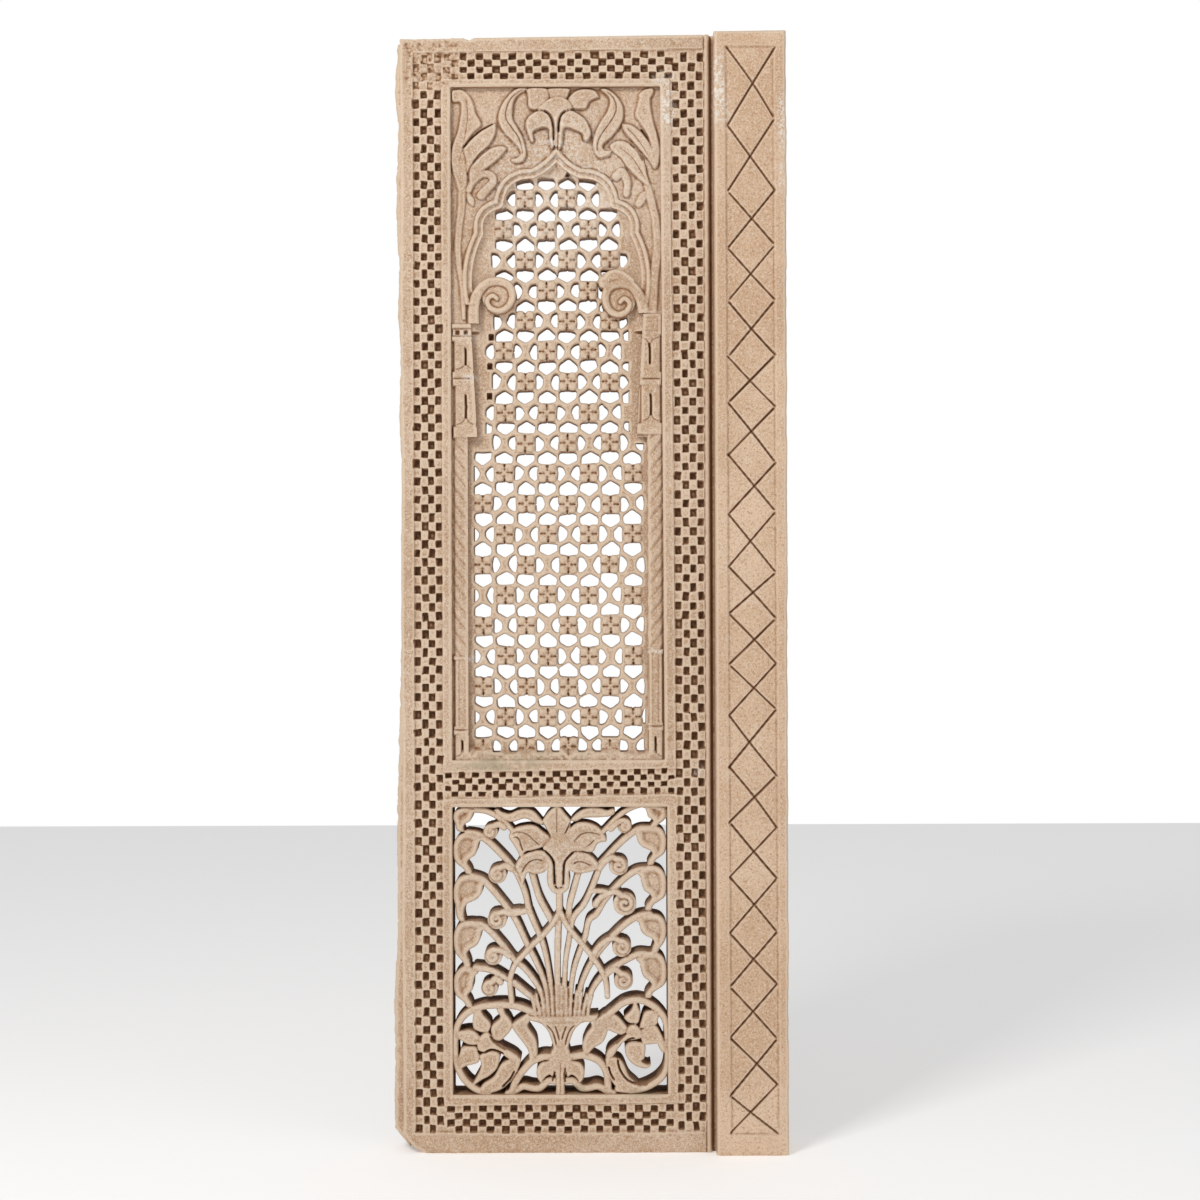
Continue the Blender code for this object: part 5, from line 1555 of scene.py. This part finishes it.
def sandstone(name, colour, limed, mossy=()):
    """Fine sandy stone: clouds of colour, grains and flecks of old limewash, with painted highlight on the
    rubbed arrises and painted shade in hollows and on cut walls.
    """
    finish = bpy.context.scene.jali_finish
    made = bpy.data.materials.new(name)
    made.use_nodes = True
    tree = made.node_tree
    shader = tree.nodes["Principled BSDF"]
    place = tree.nodes.new("ShaderNodeTexCoord").outputs["Object"]
    level = attribute(tree, "hollow")
    clouds = noise(tree, place, 7.0, 4.0, 0.6)
    mottle = noise(tree, place, 45.0, 5.0, 0.7)
    speckle = noise(tree, place, 330.0, 3.0, 0.7)
    grains = noise(tree, place, 1.0 / finish.grain, 2.0, 0.6)
    darker = tinted(colour, (0.86, 0.81, 0.76))
    paler = tinted(colour, (1.07, 1.11, 1.17))
    base = mixed(tree, ramped(tree, clouds, 0.36, 0.66), darker, paler)
    base = mixed(tree, product(tree, ramped(tree, mottle, 0.48, 0.72), 0.45), base, darker)
    base = mixed(tree, product(tree, ramped(tree, mottle, 0.44, 0.28), 0.45), base, finish.arris)
    base = mixed(tree, product(tree, ramped(tree, speckle, 0.53, 0.66), 0.55), base, finish.shade_and_dark_grain)
    base = mixed(tree, product(tree, ramped(tree, speckle, 0.47, 0.34), 0.8), base, finish.arris)
    base = mixed(tree, product(tree, ramped(tree, grains, 0.53, 0.68), 0.5), base, finish.shade_and_dark_grain)
    base = mixed(tree, product(tree, ramped(tree, grains, 0.46, 0.32), 0.6), base, finish.lime)
    # Painted highlight on points above their surroundings, which are also the rubbed edges; painted shade in
    # hollows, darkest in the deepest
    base = mixed(tree, product(tree, ramped(tree, level, -0.08, -0.5), 0.7), base, finish.arris)
    base = mixed(tree, product(tree, ramped(tree, level, 0.07, 0.5), 0.8), base, finish.shade_and_dark_grain)
    base = mixed(tree, product(tree, ramped(tree, level, 0.35, 1.0), 0.75), base, finish.deep)
    # Cut walls inside the face: a browner colour that is partly their own and partly painted shade, with more
    # painted shade towards the back
    walls = product(tree, steepness(tree), attribute(tree, "inner"))
    base = mixed(tree, product(tree, walls, 0.85), base, finish.shade_and_dark_grain)
    parted = tree.nodes.new("ShaderNodeSeparateXYZ")
    tree.links.new(place, parted.inputs[0])
    depth_shade = ramped(tree, parted.outputs["Y"], -0.004, 0.028)
    base = mixed(tree, product(tree, walls, depth_shade, 0.7), base, finish.deep)
    for centre, reach, share in mossy:
        thick = ramped(tree, mottle, 0.35, 0.6)
        base = mixed(tree, product(tree, thick, spot(tree, place, centre, reach), share), base, finish.moss)
    for centre, reach, share in limed:
        thick = ramped(tree, noise(tree, place, 190.0, 5.0, 0.7), 0.47, 0.58)
        base = mixed(tree, product(tree, thick, spot(tree, place, centre, reach), share), base, finish.lime)
    tree.links.new(base, shader.inputs["Base Color"])
    shader.inputs["Roughness"].default_value = 0.93
    shader.inputs["Specular IOR Level"].default_value = 0.25
    coarse = bumped(tree, noise(tree, place, 230.0, 4.0, 0.7), 0.9, 0.0018)
    tree.links.new(bumped(tree, grains, 0.8, 0.0007, coarse), shader.inputs["Normal"])
    return made


def carved_stone():
    """The stone of everything but the pilaster, made once."""
    found = bpy.data.materials.get("carved_sandstone")
    if found:
        return found
    limed = (((0.1000, 1.305), (0.014, 0.045), 0.75), ((0.0950, 1.345), (0.020, 0.014), 0.5),
             ((-0.1500, 1.022), (0.016, 0.012), 0.5), ((-0.1480, 0.969), (0.016, 0.008), 0.6),
             ((-0.1440, 0.618), (0.016, 0.006), 0.7), ((0.0830, 0.627), (0.016, 0.006), 0.6),
             ((-0.0400, 1.262), (0.030, 0.020), 0.25), ((-0.1100, 0.235), (0.030, 0.012), 0.3),
             ((0.0150, 0.195), (0.040, 0.012), 0.35), ((0.1350, 0.478), (0.012, 0.012), 0.4),
             ((-0.0400, 1.210), (0.160, 0.150), 0.38), ((-0.0400, 0.280), (0.170, 0.210), 0.28))
    mossy = (((-0.1150, 0.486), (0.075, 0.012), 0.55), ((-0.0600, 0.496), (0.120, 0.012), 0.35),
             ((-0.0150, 0.078), (0.012, 0.010), 0.6), ((0.0600, 0.074), (0.035, 0.008), 0.4))
    return sandstone("carved_sandstone", bpy.context.scene.jali_finish.stone, limed, mossy)


class PieceOperator:
    """What the operators of the stone's pieces share."""

    bl_options = {"REGISTER", "UNDO"}

    @staticmethod
    def spacing(factor=1.0):
        """Spacing of a sheet's points in millimetres."""
        return bpy.context.scene.jali_finish.step / MM * factor


class JALI_OT_frame(PieceOperator, bpy.types.Operator):
    """Carve the border, the checkered bands and both frames"""

    bl_idname = "jali.frame"
    bl_label = "Checkered frame"

    def execute(self, context):
        extent = (FACE_LEFT - 2.0, PILASTER_LEFT + 1.5, 0.0, STONE_TOP)
        carve("checkered_frame", extent, self.spacing(1.22), draw_frame, FRAME_BACK, carved_stone(),
              share=0.37, open_level=12.0)
        return {"FINISHED"}


class JALI_OT_tongue(PieceOperator, bpy.types.Operator):
    """Break the rough edge that shows along the left side"""

    bl_idname = "jali.tongue"
    bl_label = "Rough left edge"

    def execute(self, context):
        extent = (STONE_LEFT - 1.0, TONGUE_ROOT + 1.0, 0.0, STONE_TOP)
        carve("rough_edge", extent, TONGUE_STEP, draw_tongue, TONGUE_BACK, carved_stone(),
              share=0.8, open_level=30.0)
        return {"FINISHED"}


class JALI_OT_pilaster(PieceOperator, bpy.types.Operator):
    """Cut the pilaster strip with its incised lozenges"""

    bl_idname = "jali.pilaster"
    bl_label = "Pilaster"

    def execute(self, context):
        extent = (PILASTER_LEFT - 1.0, STONE_RIGHT + 1.0, 0.0, STONE_TOP)
        limed = (((0.1620, 1.335), (0.012, 0.055), 0.8), ((0.1650, 1.300), (0.020, 0.030), 0.45),
                 ((0.2400, 1.285), (0.008, 0.060), 0.7), ((0.2400, 1.215), (0.006, 0.030), 0.5))
        stone = sandstone("pilaster_sandstone", context.scene.jali_finish.pilaster, limed)
        carve("pilaster", extent, self.spacing(1.1), draw_pilaster, STONE_BACK, stone,
              share=0.36, open_level=-4.0)
        return {"FINISHED"}


class JALI_OT_spandrels(PieceOperator, bpy.types.Operator):
    """Carve the lily, leaves, arch band and volutes"""

    bl_idname = "jali.spandrels"
    bl_label = "Arch and spandrels"

    def execute(self, context):
        extent = (UPPER_LEFT - 2.5, UPPER_RIGHT_FOOT + 1.0, SEAM_LEFT, UPPER_TOP + 2.5)
        carve("arch_relief", extent, self.spacing(), draw_spandrels, RELIEF_BACK, carved_stone(), share=0.9)
        return {"FINISHED"}


class JALI_OT_colonnettes(PieceOperator, bpy.types.Operator):
    """Carve both colonnettes"""

    bl_idname = "jali.colonnettes"
    bl_label = "Colonnettes"

    def execute(self, context):
        for side, blocks, shafts, name, seam in (
                (-1, LEFT_BLOCKS, LEFT_SHAFTS, "colonnette_left", SEAM_LEFT),
                (1, RIGHT_BLOCKS, RIGHT_SHAFTS, "colonnette_right", SEAM_RIGHT)):
            outer = UPPER_LEFT - 2.5 if side < 0 else UPPER_RIGHT_FOOT + 2.5
            left, right = sorted((UPPER_AXIS + side * 95.0, outer))
            extent = (left, right, UPPER_SILL - 3.0, seam)
            carve(name, extent, self.spacing(), draw_colonnette(side, blocks, shafts), RELIEF_BACK,
                  carved_stone(), share=0.9)
        return {"FINISHED"}


class JALI_OT_lattice(PieceOperator, bpy.types.Operator):
    """Pierce the screen of flowers"""

    bl_idname = "jali.lattice"
    bl_label = "Pierced screen"

    def execute(self, context):
        extent = (UPPER_AXIS - 122.0, UPPER_AXIS + 122.0, UPPER_SILL - 5.0, 1258.0)
        carve("pierced_screen", extent, self.spacing(1.15), draw_lattice, SCREEN_BACK, carved_stone(),
              share=0.55, open_level=30.0)
        return {"FINISHED"}


class JALI_OT_fretwork(PieceOperator, bpy.types.Operator):
    """Pierce the lower panel of the lily and its curling stalks"""

    bl_idname = "jali.fretwork"
    bl_label = "Lower fretwork"

    def execute(self, context):
        extent = (LOWER_LEFT - 3.0, LOWER_RIGHT + 3.0, LOWER_SILL - 3.0, LOWER_TOP + 3.0)
        carve("lower_fretwork", extent, self.spacing(), draw_fretwork, MOTIF_BACK, carved_stone(), share=0.84)
        return {"FINISHED"}


def plain_material(name, colour):
    """Flat paint of the stage."""
    made = bpy.data.materials.new(name)
    made.use_nodes = True
    shader = made.node_tree.nodes["Principled BSDF"]
    shader.inputs["Base Color"].default_value = colour
    shader.inputs["Roughness"].default_value = 0.9
    shader.inputs["Emission Color"].default_value = colour
    shader.inputs["Emission Strength"].default_value = PAINT_GLOW
    return made


def lamp(name, place, size, power, colour):
    """A soft lamp that looks at the middle of the panel."""
    data = bpy.data.lights.new(name, "AREA")
    data.size = size
    data.energy = power
    data.color = colour
    holder = bpy.data.objects.new(name, data)
    bpy.context.scene.collection.objects.link(holder)
    holder.location = place
    across, deep, up = (a - b for a, b in zip(AIM, place))
    tilt = np.arctan2(up, hypot(across, deep))
    holder.rotation_euler = (pi / 2 + tilt, 0.0, np.arctan2(-across, deep))


def studio(strength):
    """White surroundings that light the stone softly."""
    made = bpy.data.worlds.new("studio")
    made.use_nodes = True
    tree = made.node_tree
    soft = tree.nodes["Background"]
    soft.inputs["Color"].default_value = (1.0, 1.0, 1.0, 1.0)
    soft.inputs["Strength"].default_value = strength
    white = tree.nodes.new("ShaderNodeBackground")
    white.inputs["Color"].default_value = (1.0, 1.0, 1.0, 1.0)
    seen = tree.nodes.new("ShaderNodeLightPath")
    choice = tree.nodes.new("ShaderNodeMixShader")
    tree.links.new(seen.outputs["Is Camera Ray"], choice.inputs[0])
    tree.links.new(soft.outputs[0], choice.inputs[1])
    tree.links.new(white.outputs[0], choice.inputs[2])
    tree.links.new(choice.outputs[0], tree.nodes["World Output"].inputs["Surface"])
    return made


class JALI_OT_stage(bpy.types.Operator):
    """Set up the floor, the lamps and the camera"""

    bl_idname = "jali.stage"
    bl_label = "Stage"

    def execute(self, context):
        scene = context.scene
        stage = scene.jali_stage
        data = bpy.data.cameras.new("camera")
        camera = bpy.data.objects.new("camera", data)
        scene.collection.objects.link(camera)
        camera.location = (stage.aside, MAIN_FACE * MM - stage.distance, stage.eye)
        camera.rotation_euler = (pi / 2, stage.roll, 0.0)
        data.sensor_fit = "AUTO"
        data.angle = 2 * atan(stage.span / 2 / stage.distance)
        data.clip_start = 0.05
        scene.camera = camera
        work = bmesh.new()
        bmesh.ops.create_grid(work, x_segments=1, y_segments=1, size=FLOOR_SIZE)
        mesh = bpy.data.meshes.new("floor")
        work.to_mesh(mesh)
        work.free()
        mesh.materials.append(plain_material("floor_paint", (0.9, 0.9, 0.9, 1.0)))
        floor = bpy.data.objects.new("floor", mesh)
        scene.collection.objects.link(floor)
        lamp("key_lamp", (-1.3, -2.3, 2.7), 0.8, stage.key, (1.0, 0.985, 0.96))
        lamp("fill_lamp", (2.2, -2.2, 1.0), 1.6, stage.fill, (0.97, 0.98, 1.0))
        scene.world = studio(stage.sky)
        scene.view_settings.view_transform = "Standard"
        return {"FINISHED"}


STEPS = (JALI_OT_stage, JALI_OT_frame, JALI_OT_tongue, JALI_OT_pilaster, JALI_OT_spandrels,
         JALI_OT_colonnettes, JALI_OT_lattice, JALI_OT_fretwork)


class JALI_PT_panel(bpy.types.Panel):
    """Lists the steps and the settings"""

    bl_idname = "JALI_PT_panel"
    bl_label = "Jali panel"
    bl_space_type = "VIEW_3D"
    bl_region_type = "UI"
    bl_category = "Jali panel"

    def draw(self, context):
        for group in (context.scene.jali_finish, context.scene.jali_stage):
            for name in group.__annotations__:
                self.layout.prop(group, name)
        for step in STEPS:
            self.layout.operator(step.bl_idname)


CLASSES = (PanelFinish, PanelStage, *STEPS, JALI_PT_panel)


def register():
    """Register the classes and hang the settings on the scene."""
    for found in CLASSES:
        bpy.utils.register_class(found)
    bpy.types.Scene.jali_finish = PointerProperty(type=PanelFinish)
    bpy.types.Scene.jali_stage = PointerProperty(type=PanelStage)


def unregister():
    """Take the settings and the classes away."""
    del bpy.types.Scene.jali_stage
    del bpy.types.Scene.jali_finish
    for found in reversed(CLASSES):
        bpy.utils.unregister_class(found)


def main():
    """Run every step."""
    register()
    bpy.ops.jali.stage()
    bpy.ops.jali.frame()
    bpy.ops.jali.tongue()
    bpy.ops.jali.pilaster()
    bpy.ops.jali.spandrels()
    bpy.ops.jali.colonnettes()
    bpy.ops.jali.lattice()
    bpy.ops.jali.fretwork()


if __name__ == "__main__":
    main()
